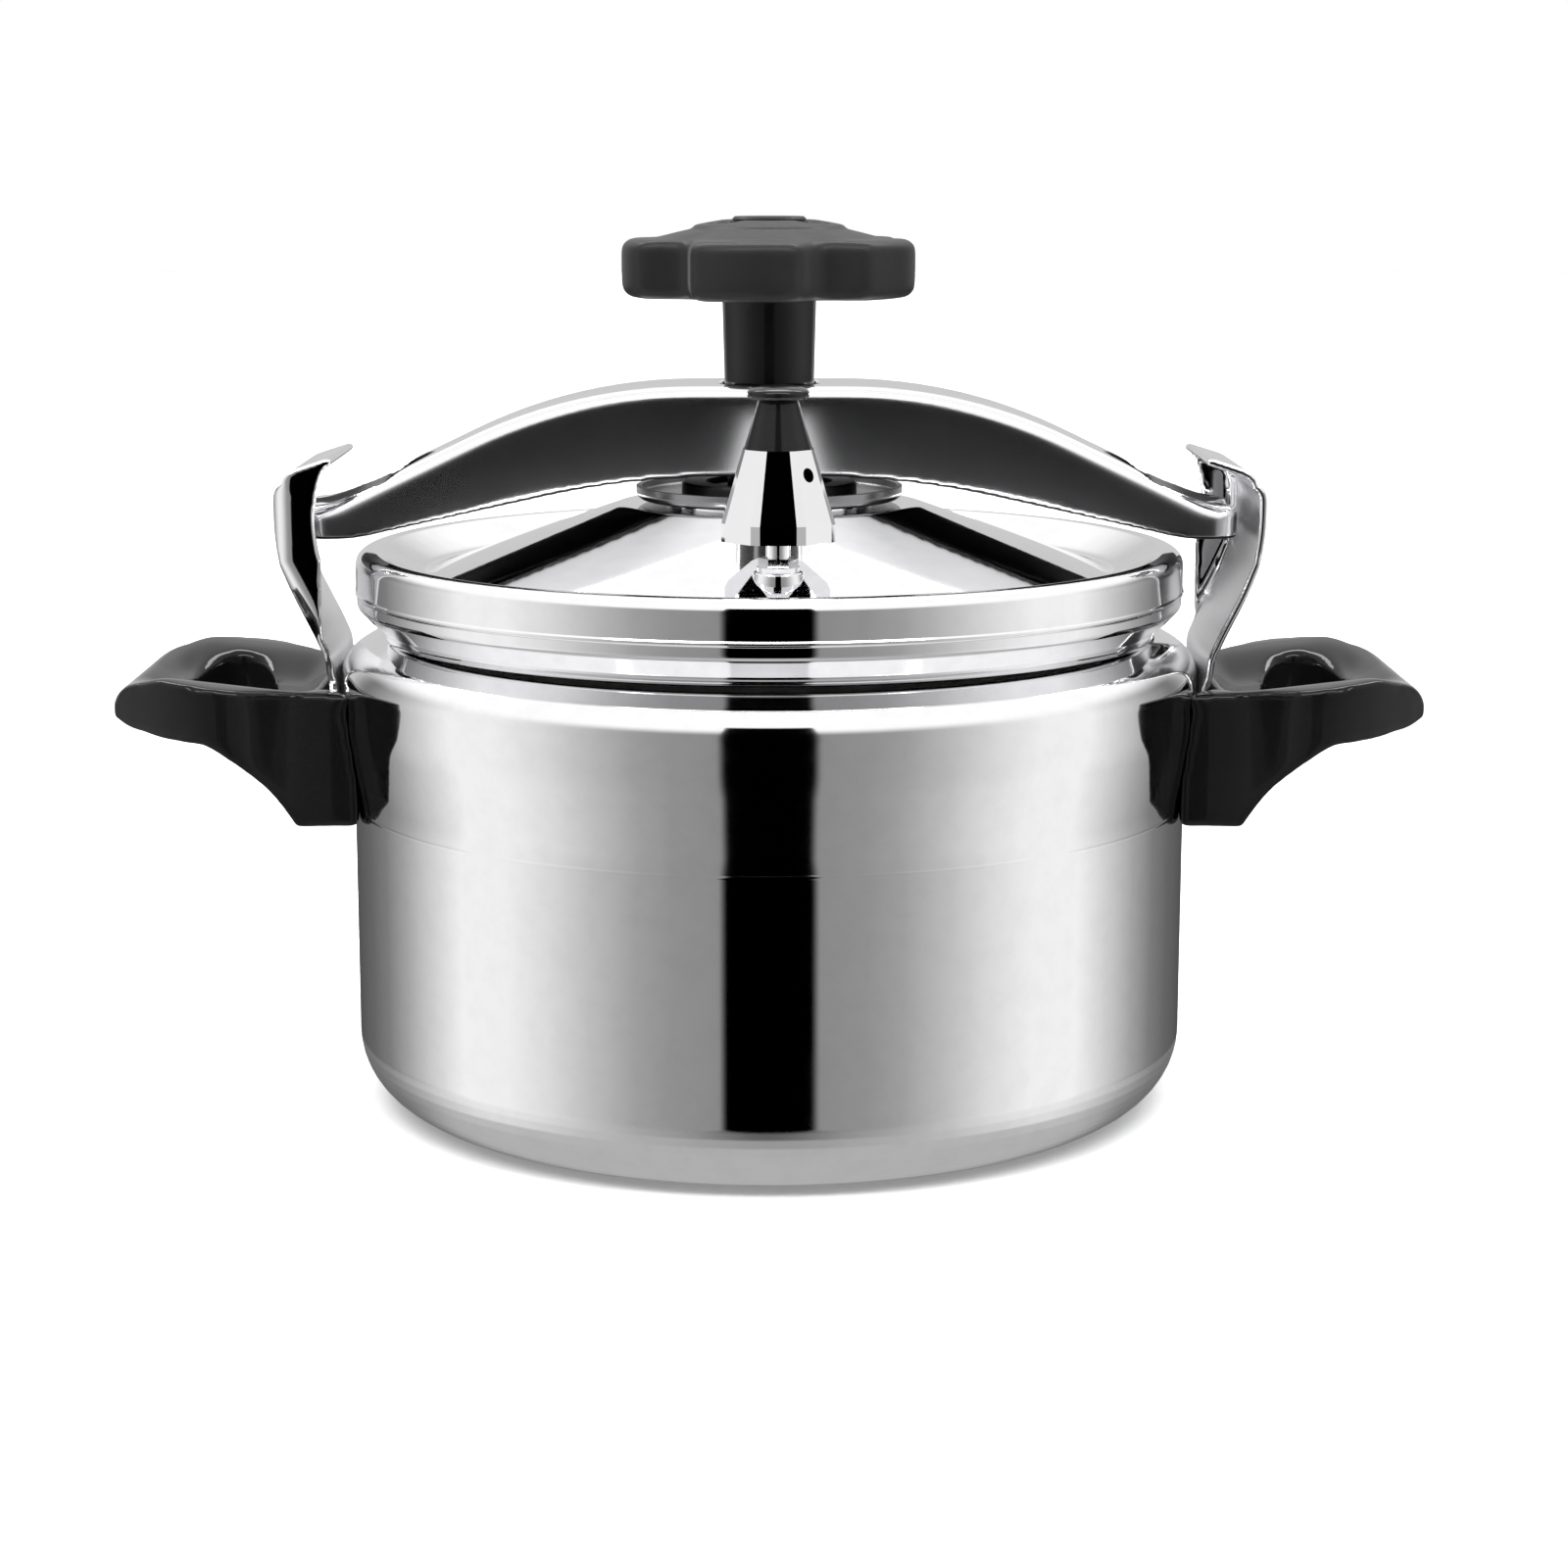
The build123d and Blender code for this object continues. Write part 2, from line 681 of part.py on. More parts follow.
# ---- Thrust cup: turns on the pressure plate and takes the screw's push ----
with BuildPart() as thrust_cup:
    with BuildSketch(Plane.XY.offset(plate_floor_z)):
        Circle(cup_flange_radius)
    extrude(amount=cup_flange_height)
    with BuildSketch(Plane.XY.offset(plate_floor_z + cup_flange_height)):
        Circle(cup_boss_radius)
    extrude(amount=cup_height - cup_flange_height)
    with BuildSketch(Plane.XY.offset(screw_seat_z)):
        Circle(screw_radius + thread_gap)
    extrude(amount=cup_height, mode=Mode.SUBTRACT)
    with BuildSketch(Plane.XY.offset(plate_floor_z)):
        Circle(rivet_head_radius + turning_gap)
    extrude(amount=rivet_head_height + turning_gap, mode=Mode.SUBTRACT)
    rims = thrust_cup.faces().sort_by(Axis.Z)[-1].edges().group_by(SortBy.RADIUS)[-1]
    chamfer(rims, length=0.8)
save(thrust_cup.part, "thrust_cup")

# ---- Valve pipe through the lid, with its nuts, seal and strainer ----
seal_z = pad_foot_z - seal_height
locknut_z = seal_z - locknut_height
pipe_foot_z = pad_z - pipe_tail

with BuildPart() as vent_pipe:
    with BuildSketch(Plane.XY.offset(pipe_foot_z)):
        with Locations(valve_place):
            Circle(pipe_radius)
            Circle(pipe_bore, mode=Mode.SUBTRACT)
    extrude(amount=pipe_top_z - pipe_foot_z)
save(vent_pipe.part, "vent_pipe")

with BuildPart() as vent_nut:
    with BuildSketch(Plane.XY.offset(pad_z)):
        with Locations(valve_place):
            Circle(nut_radius)
            Circle(pipe_radius, mode=Mode.SUBTRACT)
    extrude(amount=nut_height * nut_collar_share)
    with BuildSketch(Plane.XY.offset(pad_z + nut_height * nut_collar_share)):
        with Locations(valve_place):
            RegularPolygon(nut_radius - nut_bevel, 6)
            Circle(pipe_radius, mode=Mode.SUBTRACT)
    extrude(amount=nut_height * (1 - nut_collar_share))
save(vent_nut.part, "vent_nut")

with BuildPart() as vent_seal:
    with BuildSketch(Plane.XY.offset(seal_z)):
        with Locations(valve_place):
            Circle(seal_radius)
            Circle(pipe_radius, mode=Mode.SUBTRACT)
    extrude(amount=seal_height)
save(vent_seal.part, "vent_seal")

with BuildPart() as vent_locknut:
    with BuildSketch(Plane.XY.offset(locknut_z)):
        with Locations(valve_place):
            RegularPolygon(locknut_radius, 6)
            Circle(pipe_radius, mode=Mode.SUBTRACT)
    extrude(amount=locknut_height)
save(vent_locknut.part, "vent_locknut")

strainer_foot_z = pipe_foot_z - strainer_depth
with BuildPart() as vent_strainer:
    with BuildSketch(Plane.XY.offset(strainer_foot_z)):
        with Locations(valve_place):
            Circle(strainer_radius)
    extrude(amount=locknut_z - strainer_foot_z)
    with BuildSketch(Plane.XY.offset(strainer_foot_z + strainer_wall)):
        with Locations(valve_place):
            Circle(strainer_radius - strainer_wall)
    extrude(amount=locknut_z - strainer_foot_z - 2 * strainer_wall, mode=Mode.SUBTRACT)
    with BuildSketch(Plane.XY.offset(locknut_z - 2 * strainer_wall)):
        with Locations(valve_place):
            Circle(pipe_radius)
    extrude(amount=locknut_height, mode=Mode.SUBTRACT)
    with BuildSketch(Plane.XY.offset(strainer_foot_z - 1)):
        with Locations(valve_place):
            with PolarLocations(strainer_hole_place, 6):
                Circle(strainer_hole)
    extrude(amount=strainer_depth, mode=Mode.SUBTRACT)
save(vent_strainer.part, "vent_strainer")

# ---- Safety plug: a rubber plug that blows out if the valve blocks ----
with BuildPart() as safety_plug:
    with BuildSketch(Plane.XY.offset(pad_z)):
        with Locations(plug_place):
            Circle(plug_radius)
    extrude(amount=plug_height, taper=20)
    with BuildSketch(Plane.XY.offset(pad_z - pad_depth)):
        with Locations(plug_place):
            Circle(plug_stem_radius)
    extrude(amount=pad_depth)
    with BuildSketch(Plane.XY.offset(pad_z - pad_depth)):
        with Locations(plug_place):
            Circle(plug_tail_radius)
    extrude(amount=-plug_height, taper=15)
save(safety_plug.part, "safety_plug")

# ---- Weight: an eight-sided cone that lifts off the valve pipe, with a black grip ----
weight_cone_z = weight_z + weight_base
weight_top_z = weight_cone_z + weight_cone
jet_z = weight_top_z - weight_jet_drop


def weight_outline(radius):
    """An octagon with a flat to the front and its corners cut off, at the valve's axis."""
    with BuildSketch() as outline:
        RegularPolygon(radius, 8, rotation=22.5)
        chamfer(outline.vertices(), length=weight_bevel * radius / weight_corner_radius)
    return outline.sketch


with BuildPart() as weight_body:
    with BuildSketch(Plane.XY.offset(weight_z)):
        with Locations(valve_place):
            add(weight_outline(weight_corner_radius))
    extrude(amount=weight_base)
    with BuildSketch(Plane.XY.offset(weight_cone_z)):
        with Locations(valve_place):
            add(weight_outline(weight_corner_radius))
    with BuildSketch(Plane.XY.offset(weight_top_z)):
        with Locations(valve_place):
            add(weight_outline(weight_top_radius))
    loft(ruled=True)
    with BuildSketch(Plane.XY.offset(weight_z)):
        with Locations(valve_place):
            Circle(pipe_radius + weight_bore_gap)
    extrude(amount=pipe_top_z - weight_z, mode=Mode.SUBTRACT)
    with BuildSketch(Plane.XY.offset(pipe_top_z)):
        with Locations(valve_place):
            Circle(pipe_radius - weight_bore_gap)
    extrude(amount=jet_z + weight_jet_radius - pipe_top_z, mode=Mode.SUBTRACT)
    with BuildSketch(Plane((*valve_place, jet_z), x_dir=(0, 0, 1), z_dir=(0.7, -0.7, 0))):
        Circle(weight_jet_radius)
    extrude(amount=weight_corner_radius, mode=Mode.SUBTRACT)
save(weight_body.part, "weight_body")

with BuildPart() as weight_grip:
    with BuildSketch(Plane((*valve_place, 0), x_dir=(1, 0, 0), z_dir=(0, -1, 0))):
        with BuildLine():
            foot = Line((0, weight_top_z), (grip_foot_radius, weight_top_z))
            neck_z = weight_top_z + grip_height
            side = Line(foot @ 1, (grip_neck_radius, neck_z))
            shelf = Line(side @ 1, (grip_cap_radius - grip_cap_edge, neck_z))
            cap_top = neck_z + grip_cap_height
            rim = ThreePointArc(
                shelf @ 1,
                (grip_cap_radius, neck_z + grip_cap_height / 2),
                (grip_cap_radius - grip_cap_edge, cap_top - grip_cap_edge),
            )
            dome = Spline(rim @ 1, (0, cap_top), tangents=((-1, 0.6), (-1, 0)))
            Line(dome @ 1, foot @ 0)
        make_face()
    revolve(axis=Axis((*valve_place, 0), (0, 0, 1)))
save(weight_grip.part, "weight_grip")


# ---- Clamp beam: an arched channel with a hole at the crown and dished solid ends ----
def arch_line(reach, top_z, drop, flat, tail, tail_radius):
    """Half an arch: flat crown, falling arc, straight slope, and an arc into a flat end."""
    slope = 1.5 * atan(drop / (reach - flat))
    run = reach - flat - tail - tail_radius * sin(slope)
    fall = drop - tail_radius * (1 - cos(slope))
    turn = 1 - cos(slope)
    bow_radius = (run * sin(slope) - fall * cos(slope)) / turn
    ramp_length = (fall * sin(slope) - run * turn) / turn
    crown = Line((0, top_z), (flat, top_z))
    bow = JernArc(crown @ 1, (1, 0), bow_radius, -degrees(slope))
    ramp = Line(bow @ 1, bow @ 1 + (bow % 1) * ramp_length)
    foot = JernArc(ramp @ 1, ramp % 1, tail_radius, degrees(slope))
    return Line(foot @ 1, (reach, top_z - drop))


beam_width = bracket_width - 2 * (stop_sheet + stop_side_gap)
lower_drop = beam_low_z - beam_low_end_z
hollow = beam_reach - solid_end
roof_z = crown_z - beam_sheet
hollow_drop = beam_arch * (hollow / beam_reach) ** 2
with BuildPart() as clamp_beam:
    with BuildSketch(Plane.XZ):
        with BuildLine():
            top_end = arch_line(beam_reach, crown_z, beam_arch, crown_flat, beam_end_flat, beam_end_bend)
            low_end = arch_line(
                beam_reach, beam_low_z, lower_drop, lower_flat, lower_end_flat, lower_end_bend
            )
            Line(top_end @ 1, low_end @ 1)
            Line((0, crown_z), (0, beam_low_z))
        make_face()
    extrude(amount=beam_width / 2, both=True)
    mirror(about=Plane.YZ)
    upper_faces = clamp_beam.faces().filter_by(
        lambda face: face.normal_at(face.center()).Z > 0.5
    )
    long_edges = upper_faces.edges().filter_by(
        lambda edge: abs(abs(edge.center().Y) - beam_width / 2) < 0.01
    )
    fillet(long_edges, radius=beam_edge)
    with BuildSketch(Plane.XY.offset(beam_low_end_z - beam_end_depth)):
        RectangleRounded(2 * beam_reach, beam_width, beam_corner)
    extrude(amount=crown_z - beam_low_end_z + 2 * beam_end_depth, mode=Mode.INTERSECT)
    with BuildSketch(Plane.XZ):
        with BuildLine():
            roof_end = arch_line(
                hollow, roof_z, hollow_drop, crown_flat, roof_end_flat, roof_end_bend
            )
            floor_z = beam_low_end_z - beam_end_depth
            Polyline(roof_end @ 1, (hollow, floor_z), (0, floor_z), (0, roof_z))
        make_face()
        mirror(about=Plane.YZ)
    extrude(amount=beam_width / 2 - beam_sheet, both=True, mode=Mode.SUBTRACT)
    with BuildSketch(Plane.XY.offset(crown_z)):
        Circle(hub_radius + hub_hole_gap)
    extrude(amount=2 * beam_sheet, both=True, mode=Mode.SUBTRACT)
    dish_place = beam_reach - dish_back
    dish_z = beam_end_z + dish_radius - dish_depth
    with Locations((dish_place, 0, dish_z), (-dish_place, 0, dish_z)):
        Sphere(dish_radius, mode=Mode.SUBTRACT)
save(clamp_beam.part, "clamp_beam")

# ---- Bridge and bush that carry the screw inside the beam ----
with BuildPart() as bush_bridge:
    with BuildSketch(Plane.XY.offset(bridge_z)):
        Rectangle(bridge_length, beam_width - 2 * beam_sheet)
        Circle(bush_radius, mode=Mode.SUBTRACT)
    extrude(amount=bridge_sheet)
save(bush_bridge.part, "bush_bridge")

with BuildPart() as threaded_bush:
    with BuildSketch(Plane.XY.offset(bridge_z - bush_flange_height)):
        Circle(bush_flange)
    extrude(amount=bush_flange_height)
    with BuildSketch(Plane.XY.offset(bridge_z)):
        Circle(bush_radius)
    extrude(amount=bush_height - bush_flange_height)
    with BuildSketch(Plane.XY.offset(bridge_z - bush_flange_height)):
        Circle(screw_radius + thread_gap)
    extrude(amount=bush_height, mode=Mode.SUBTRACT)
save(threaded_bush.part, "threaded_bush")

# ---- Screw, hub, knob, nut and cap: these turn together ----
screw_top_z = knob_seat_z + knob_nut_height + screw_stand
with BuildPart() as clamp_screw:
    with BuildSketch(Plane.XY.offset(screw_seat_z + screw_seat_gap)):
        Circle(screw_radius)
    extrude(amount=screw_top_z - screw_seat_z - screw_seat_gap)
    chamfer(clamp_screw.edges().sort_by(Axis.Z)[0], length=screw_tip_bevel)
save(clamp_screw.part, "clamp_screw")

with BuildPart() as knob_hub:
    with BuildSketch(Plane.XY.offset(hub_z)):
        Circle(hub_foot_radius)
    with BuildSketch(Plane.XY.offset(knob_z)):
        Circle(hub_radius)
    loft()
    with BuildSketch(Plane.XY.offset(hub_z)):
        Circle(screw_radius)
    extrude(amount=hub_length, mode=Mode.SUBTRACT)
save(knob_hub.part, "knob_hub")

scallop_place = knob_radius - scallop_depth + scallop_radius
scallop_start = -90 - lobe_turn + 180 / lobe_count
knob_rim_z = knob_z + knob_edge
with BuildPart() as knob:
    with BuildSketch(Plane.XY.offset(knob_z)) as lobes:
        Circle(knob_radius)
        with PolarLocations(scallop_place, lobe_count, start_angle=scallop_start):
            Circle(scallop_radius, mode=Mode.SUBTRACT)
        fillet(lobes.vertices(), radius=scallop_edge)
    extrude(amount=knob_edge)
    flat_rims = knob.faces().filter_by(Axis.Z).edges()
    fillet(flat_rims, radius=knob_corner)
    with BuildSketch(Plane.XZ):
        with BuildLine():
            dome_radius = knob_radius - scallop_depth - knob_corner
            foot = Line((0, knob_z + knob_web), (dome_radius, knob_z + knob_web))
            side = Line(foot @ 1, (dome_radius, knob_rim_z))
            dome = Spline(side @ 1, (0, knob_top_z), tangents=((-1, 0.25), (-1, 0)))
            Line(dome @ 1, foot @ 0)
        make_face()
    revolve(axis=Axis.Z)
    with BuildSketch(Plane.XY.offset(knob_z)):
        Circle(screw_radius)
    extrude(amount=knob_web, mode=Mode.SUBTRACT)
    with BuildSketch(Plane.XY.offset(knob_seat_z)):
        Circle(knob_socket_radius)
    extrude(amount=knob_edge, mode=Mode.SUBTRACT)
save(knob.part, "knob")

with BuildPart() as knob_nut:
    with BuildSketch(Plane.XY.offset(knob_seat_z)):
        RegularPolygon(knob_nut_radius, 6)
        Circle(screw_radius, mode=Mode.SUBTRACT)
    extrude(amount=knob_nut_height)
save(knob_nut.part, "knob_nut")

cap_z = screw_top_z + cap_gap
with BuildPart() as knob_cap:
    with BuildSketch(Plane.XY.offset(cap_z)):
        Circle(knob_socket_radius)
    extrude(amount=knob_top_z - cap_z)
    chamfer(knob_cap.edges().sort_by(Axis.Z)[-1], length=cap_bevel)
save(knob_cap.part, "knob_cap")
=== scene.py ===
"""Clamp-lid pressure canner: bright turned aluminium, a plated clamp beam and black moulded grips.

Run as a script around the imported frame. Every length is in metres, in the frame's own axes: the pot
stands on z = 0 about the Z axis, its handles lie along X and the weighted valve stands at -Y.
"""

import json
import math

import bmesh
import bpy
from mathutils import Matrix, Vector

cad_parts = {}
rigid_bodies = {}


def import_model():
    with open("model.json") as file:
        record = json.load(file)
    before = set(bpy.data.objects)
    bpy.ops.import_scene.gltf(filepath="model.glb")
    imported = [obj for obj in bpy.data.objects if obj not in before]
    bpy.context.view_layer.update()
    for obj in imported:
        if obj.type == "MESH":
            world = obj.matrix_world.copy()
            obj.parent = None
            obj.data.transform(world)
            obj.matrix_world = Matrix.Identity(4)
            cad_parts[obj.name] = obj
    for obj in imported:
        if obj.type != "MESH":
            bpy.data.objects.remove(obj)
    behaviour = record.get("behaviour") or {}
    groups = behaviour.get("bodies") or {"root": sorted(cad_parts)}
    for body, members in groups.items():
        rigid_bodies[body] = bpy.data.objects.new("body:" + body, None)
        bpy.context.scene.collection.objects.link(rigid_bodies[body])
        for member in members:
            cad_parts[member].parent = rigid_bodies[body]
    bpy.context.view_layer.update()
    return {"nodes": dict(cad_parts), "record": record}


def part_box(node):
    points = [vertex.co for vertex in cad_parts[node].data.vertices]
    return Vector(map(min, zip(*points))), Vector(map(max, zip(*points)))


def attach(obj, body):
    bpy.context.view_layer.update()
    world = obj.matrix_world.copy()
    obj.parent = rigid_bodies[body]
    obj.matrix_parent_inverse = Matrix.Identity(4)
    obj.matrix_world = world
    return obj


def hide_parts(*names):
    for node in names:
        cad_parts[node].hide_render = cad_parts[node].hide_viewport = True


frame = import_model()

bl_info = {
    "name": "Pressure Canner",
    "version": (1, 0, 0),
    "blender": (4, 5, 0),
    "location": "View3D > Sidebar > Canner",
    "description": "Builds the visible pieces and finishes of a clamp-lid pressure canner",
    "category": "Add Mesh",
}

MM = 0.001
MICRON = 0.000001

_, POT_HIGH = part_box("pot_body")
_, LID_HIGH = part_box("lid_cover")
_, BRACKET_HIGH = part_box("bracket_right")
KNOB_LOW, KNOB_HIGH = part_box("knob")
NUT_LOW, NUT_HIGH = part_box("vent_nut")
PLUG_LOW, PLUG_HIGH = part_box("safety_plug")


# ---- Sizes and colours that a user would change ----
def length(label, description, millimetres):
    return bpy.props.FloatProperty(
        name=label, description=description, default=millimetres * MM, unit="LENGTH"
    )


def rounds(label, description, default):
    return bpy.props.IntProperty(name=label, description=description, default=default)


def tint(label, description, rgb):
    return bpy.props.FloatVectorProperty(
        name=label, description=description, subtype="COLOR", default=rgb
    )


class PotSizes(bpy.types.PropertyGroup):
    """Sizes of the spun pot."""

    wall_radius: length("Wall radius", "Outside radius of the straight wall", 110.0)
    wall_top: length("Wall top", "Height where the straight wall ends", 80.8)
    wall: length("Wall", "Thickness of the spun wall", 3.0)
    base_corner: length("Base corner", "Outside radius under the wall", 19.0)
    foot_rise: length("Foot rise", "How far the middle of the base stands clear of the table", 0.6)
    foot_width: length("Foot width", "From the wall in to where the base touches the table", 28.0)
    foot_step: length("Foot step", "Width of the step at the foot's inner edge", 2.0)
    flare_start: length("Flare start", "From the wall's top up to where it bends outwards", 1.5)
    flare_end: length("Flare end", "From the wall's top up to where it is upright again", 22.0)
    flare_bend: length("Flare bend", "Radius of both bends of the flare", 40.0)
    shoulder: length("Shoulder", "From the wall's top up to the shoulder's corner", 37.7)
    shoulder_bend: length("Shoulder bend", "Radius of the shoulder's corner", 9.0)
    neck_foot: length("Neck foot", "From the wall's top up to the neck's foot", 44.7)
    neck_bend: length("Neck bend", "Radius at the neck's foot", 3.0)
    neck_step: length("Neck step", "From the widest point in to the neck", 12.0)
    edge_bevel: length("Edge bevel", "Rounding of the neck's edge", 0.6)


class LidSizes(bpy.types.PropertyGroup):
    """Sizes of the pressed lid."""

    sheet: length("Sheet", "Thickness of the pressed sheet", 2.0)
    flat_radius: length("Flat top", "Radius of the flat at the middle", 39.5)
    flat_bend: length("Flat bend", "Bend between the flat and the cone", 8.0)
    crest_drop: length("Crest drop", "From the flat down to the rim's crest", 11.7)
    crest_width: length("Crest width", "Width of the rim's flat top", 6.0)
    crest_inner_bend: length("Inner crest bend", "Bend at the crest's inner edge", 2.6)
    crest_outer_bend: length("Outer crest bend", "Bend at the crest's outer edge", 3.2)
    trough_width: length("Trough width", "From the crest's inner edge in to the trough", 11.5)
    trough_depth: length("Trough depth", "From the crest down to the trough", 6.7)
    trough_bend: length("Trough bend", "Bend at the trough", 7.0)
    bead: length("Bead", "How far the skirt's bead stands out", 0.3)
    bead_drop: length("Bead drop", "From the crest down to the bead", 10.2)
    skirt_step: length("Skirt step", "How far the skirt steps in under the bead", 0.2)
    skirt_height: length("Skirt height", "From the crest down to the lip", 14.0)
    skirt_bend: length("Skirt bend", "Bend between the skirt and the lip", 2.4)
    lip: length("Lip", "How far the lip slants in, and down", 5.0)
    boss_radius: length("Boss radius", "Radius on top of a boss", 6.2)
    boss_foot: length("Boss foot", "Radius at a boss's foot", 6.9)
    boss_edge: length("Boss edge", "Rounding of a boss's top edge", 0.7)
    boss_sink: length("Boss sink", "How far a boss runs into the sheet", 1.0)


class HandleSizes(bpy.types.PropertyGroup):
    """Sizes of the moulded handles. A reach is measured out from the wall, a height from the table."""

    grain: length("Mesh", "Size of a face on the handles", 0.8)
    soften: rounds("Rounding", "How many times the handles' edges are smoothed", 26)
    settle: rounds("Settling", "How many times they are smoothed after the dish is sunk", 6)
    dish_depth: length("Dish depth", "How far the top sinks round the finger gap", 6.5)
    dish_flat: length("Dish flat", "Half width of the dish's bottom", 8.0)
    dish_edge: length("Dish edge", "Half width of the dish at its rim", 38.0)
    dish_start: length("Dish start", "Reach where the dish starts", 4.0)
    dish_full: length("Dish full", "Reach where the dish is at its full depth", 16.0)
    dish_fade: length("Dish fade", "Reach where the dish starts to rise again", 46.0)
    dish_end: length("Dish end", "Reach where the dish ends", 60.0)
    tip_start: length("Tip start", "Reach where the wing starts to thin", 42.0)
    tip_end: length("Tip end", "Reach of the wing's tip", 63.0)
    tip_drop: length("Tip drop", "How far the top falls at the tip", 4.5)
    tip_rise: length("Tip rise", "How far the underside rises at the tip, and the tip draws in", 2.2)
    wing_low: length("Wing low", "Height of the wing's underside", 101.0)
    wing_middle: length("Wing middle", "Height above which the underside isn't moved", 108.0)
    wing_high: length("Wing high", "Height above which the top is moved in full", 115.0)


class KnobSizes(bpy.types.PropertyGroup):
    """Sizes of the lobed knob."""

    grain: length("Mesh", "Size of a face on the knob", 0.55)
    soften: rounds("Rounding", "How many times the knob's edges are smoothed", 34)
    settle: rounds("Settling", "How many times it is smoothed after the recesses are sunk", 4)
    valley: length("Valley", "How far the valleys between the lobes are deepened", 3.2)
    valley_inner: length("Valley start", "Radius where the valleys start", 18.0)
    valley_outer: length("Valley full", "Radius where the valleys are at their full depth", 34.0)
    disc_radius: length("Disc radius", "Radius of the raised disc on top", 19.0)
    disc_edge: length("Disc edge", "Width of the raised disc's sloping edge", 1.5)
    disc_rise: length("Disc rise", "How far the disc stands above the lobes", 0.8)
    recess_place: length("Recess place", "From the axis to the middle of a recess", 12.5)
    recess_floor: length("Recess floor", "Radius of a recess's floor", 3.8)
    recess_radius: length("Recess radius", "Radius of a recess at its rim", 5.2)
    recess_depth: length("Recess depth", "Depth of the round recesses", 1.2)
    top_start: length("Top start", "Height above the knob's foot from which the top is moved", 10.0)
    top_full: length("Top full", "Depth below the knob's top to where it is moved in full", 4.0)


class BracketSizes(bpy.types.PropertyGroup):
    """Sizes of the hooked brackets. Heights are measured from the table."""

    grain: length("Mesh", "Size of a face on the brackets", 0.6)
    soften: rounds("Rounding", "How many times the brackets' edges are smoothed", 8)
    settle: rounds("Settling", "How many times they are smoothed after the stops are bowed", 6)
    hook_bend: length("Hook bend", "Outside radius of the hook's bend", 7.0)
    hook_bend_foot: length("Hook bend foot", "Height where the hook's bend starts", 160.2)
    lean_top: length("Lean top", "Height where the strip turns upright", 144.8)
    lean_top_ease: length("Upper ease", "How far the upper bend is drawn in", 0.9)
    lean_top_reach: length("Upper reach", "How far along the strip the upper ease acts", 6.0)
    lean_foot: length("Lean foot", "Height where the strip starts to lean out", 119.5)
    lean_foot_ease: length("Lower ease", "How far the lower bend is drawn out", 0.4)
    lean_foot_reach: length("Lower reach", "How far along the strip the lower ease acts", 4.0)
    stop_foot: length("Stop foot", "Height above which the side stop is bowed", 112.0)
    stop_inner: length("Stop inner", "Distance of the stop's back from the handles' centre line", 20.5)
    bow_width: length("Bow width", "Width of the stop's bowed outer band", 4.8)
    bow_depth: length("Bow depth", "How far the stop's outer edge is bowed back", 3.4)


class BeamSizes(bpy.types.PropertyGroup):
    """Sizes of the clamp beam's surface."""

    grain: length("Mesh", "Size of a face on the beam", 0.7)
    soften: rounds("Rounding", "How many times the beam's edges are smoothed", 10)


class FinishColours(bpy.types.PropertyGroup):
    """Colours of the finishes."""

    aluminium: tint("Aluminium", "Bright turned aluminium", (0.90, 0.90, 0.91))
    chrome: tint("Chrome", "Bright plating", (0.88, 0.88, 0.89))
    bakelite: tint("Bakelite", "Glossy black moulding", (0.004, 0.004, 0.004))
    knob: tint("Knob", "Satin dark grey moulding", (0.011, 0.011, 0.0115))
    ring: tint("Ring", "Black plastic inside the pressure plate", (0.012, 0.012, 0.012))
    rivet: tint("Rivet", "Soft aluminium of the rivets", (0.75, 0.75, 0.75))
    fixing: tint("Fixing", "Zinc plated nuts, washers and screws", (0.56, 0.56, 0.57))
    screw: tint("Screw", "Bare steel of the clamp screw", (0.50, 0.50, 0.51))
    plate: tint("Plate", "Steel of the pressure plate", (0.27, 0.27, 0.275))
    gasket: tint("Gasket", "Pale rubber of the lid's gasket", (0.55, 0.53, 0.49))
    plug: tint("Plug", "Black rubber of the safety plug", (0.02, 0.02, 0.02))


# ---- Shader maths written as expressions ----
class Value:
    """A socket that carries a number, so that + - * / add Math nodes."""

    def __init__(self, finish, socket):
        self.finish = finish
        self.socket = socket

    def __add__(self, other):
        return self.finish.maths("ADD", self, other)

    __radd__ = __add__

    def __sub__(self, other):
        return self.finish.maths("SUBTRACT", self, other)

    def __rsub__(self, other):
        return self.finish.maths("SUBTRACT", other, self)

    def __mul__(self, other):
        return self.finish.maths("MULTIPLY", self, other)

    __rmul__ = __mul__

    def __truediv__(self, other):
        return self.finish.maths("DIVIDE", self, other)

    def __neg__(self):
        return self.finish.maths("MULTIPLY", self, -1.0)

    def __abs__(self):
        return self.finish.maths("ABSOLUTE", self)

    def root(self):
        return self.finish.maths("SQRT", self)

    def above(self, level):
        return self.finish.maths("GREATER_THAN", self, level)

    def below(self, level):
        return self.finish.maths("LESS_THAN", self, level)


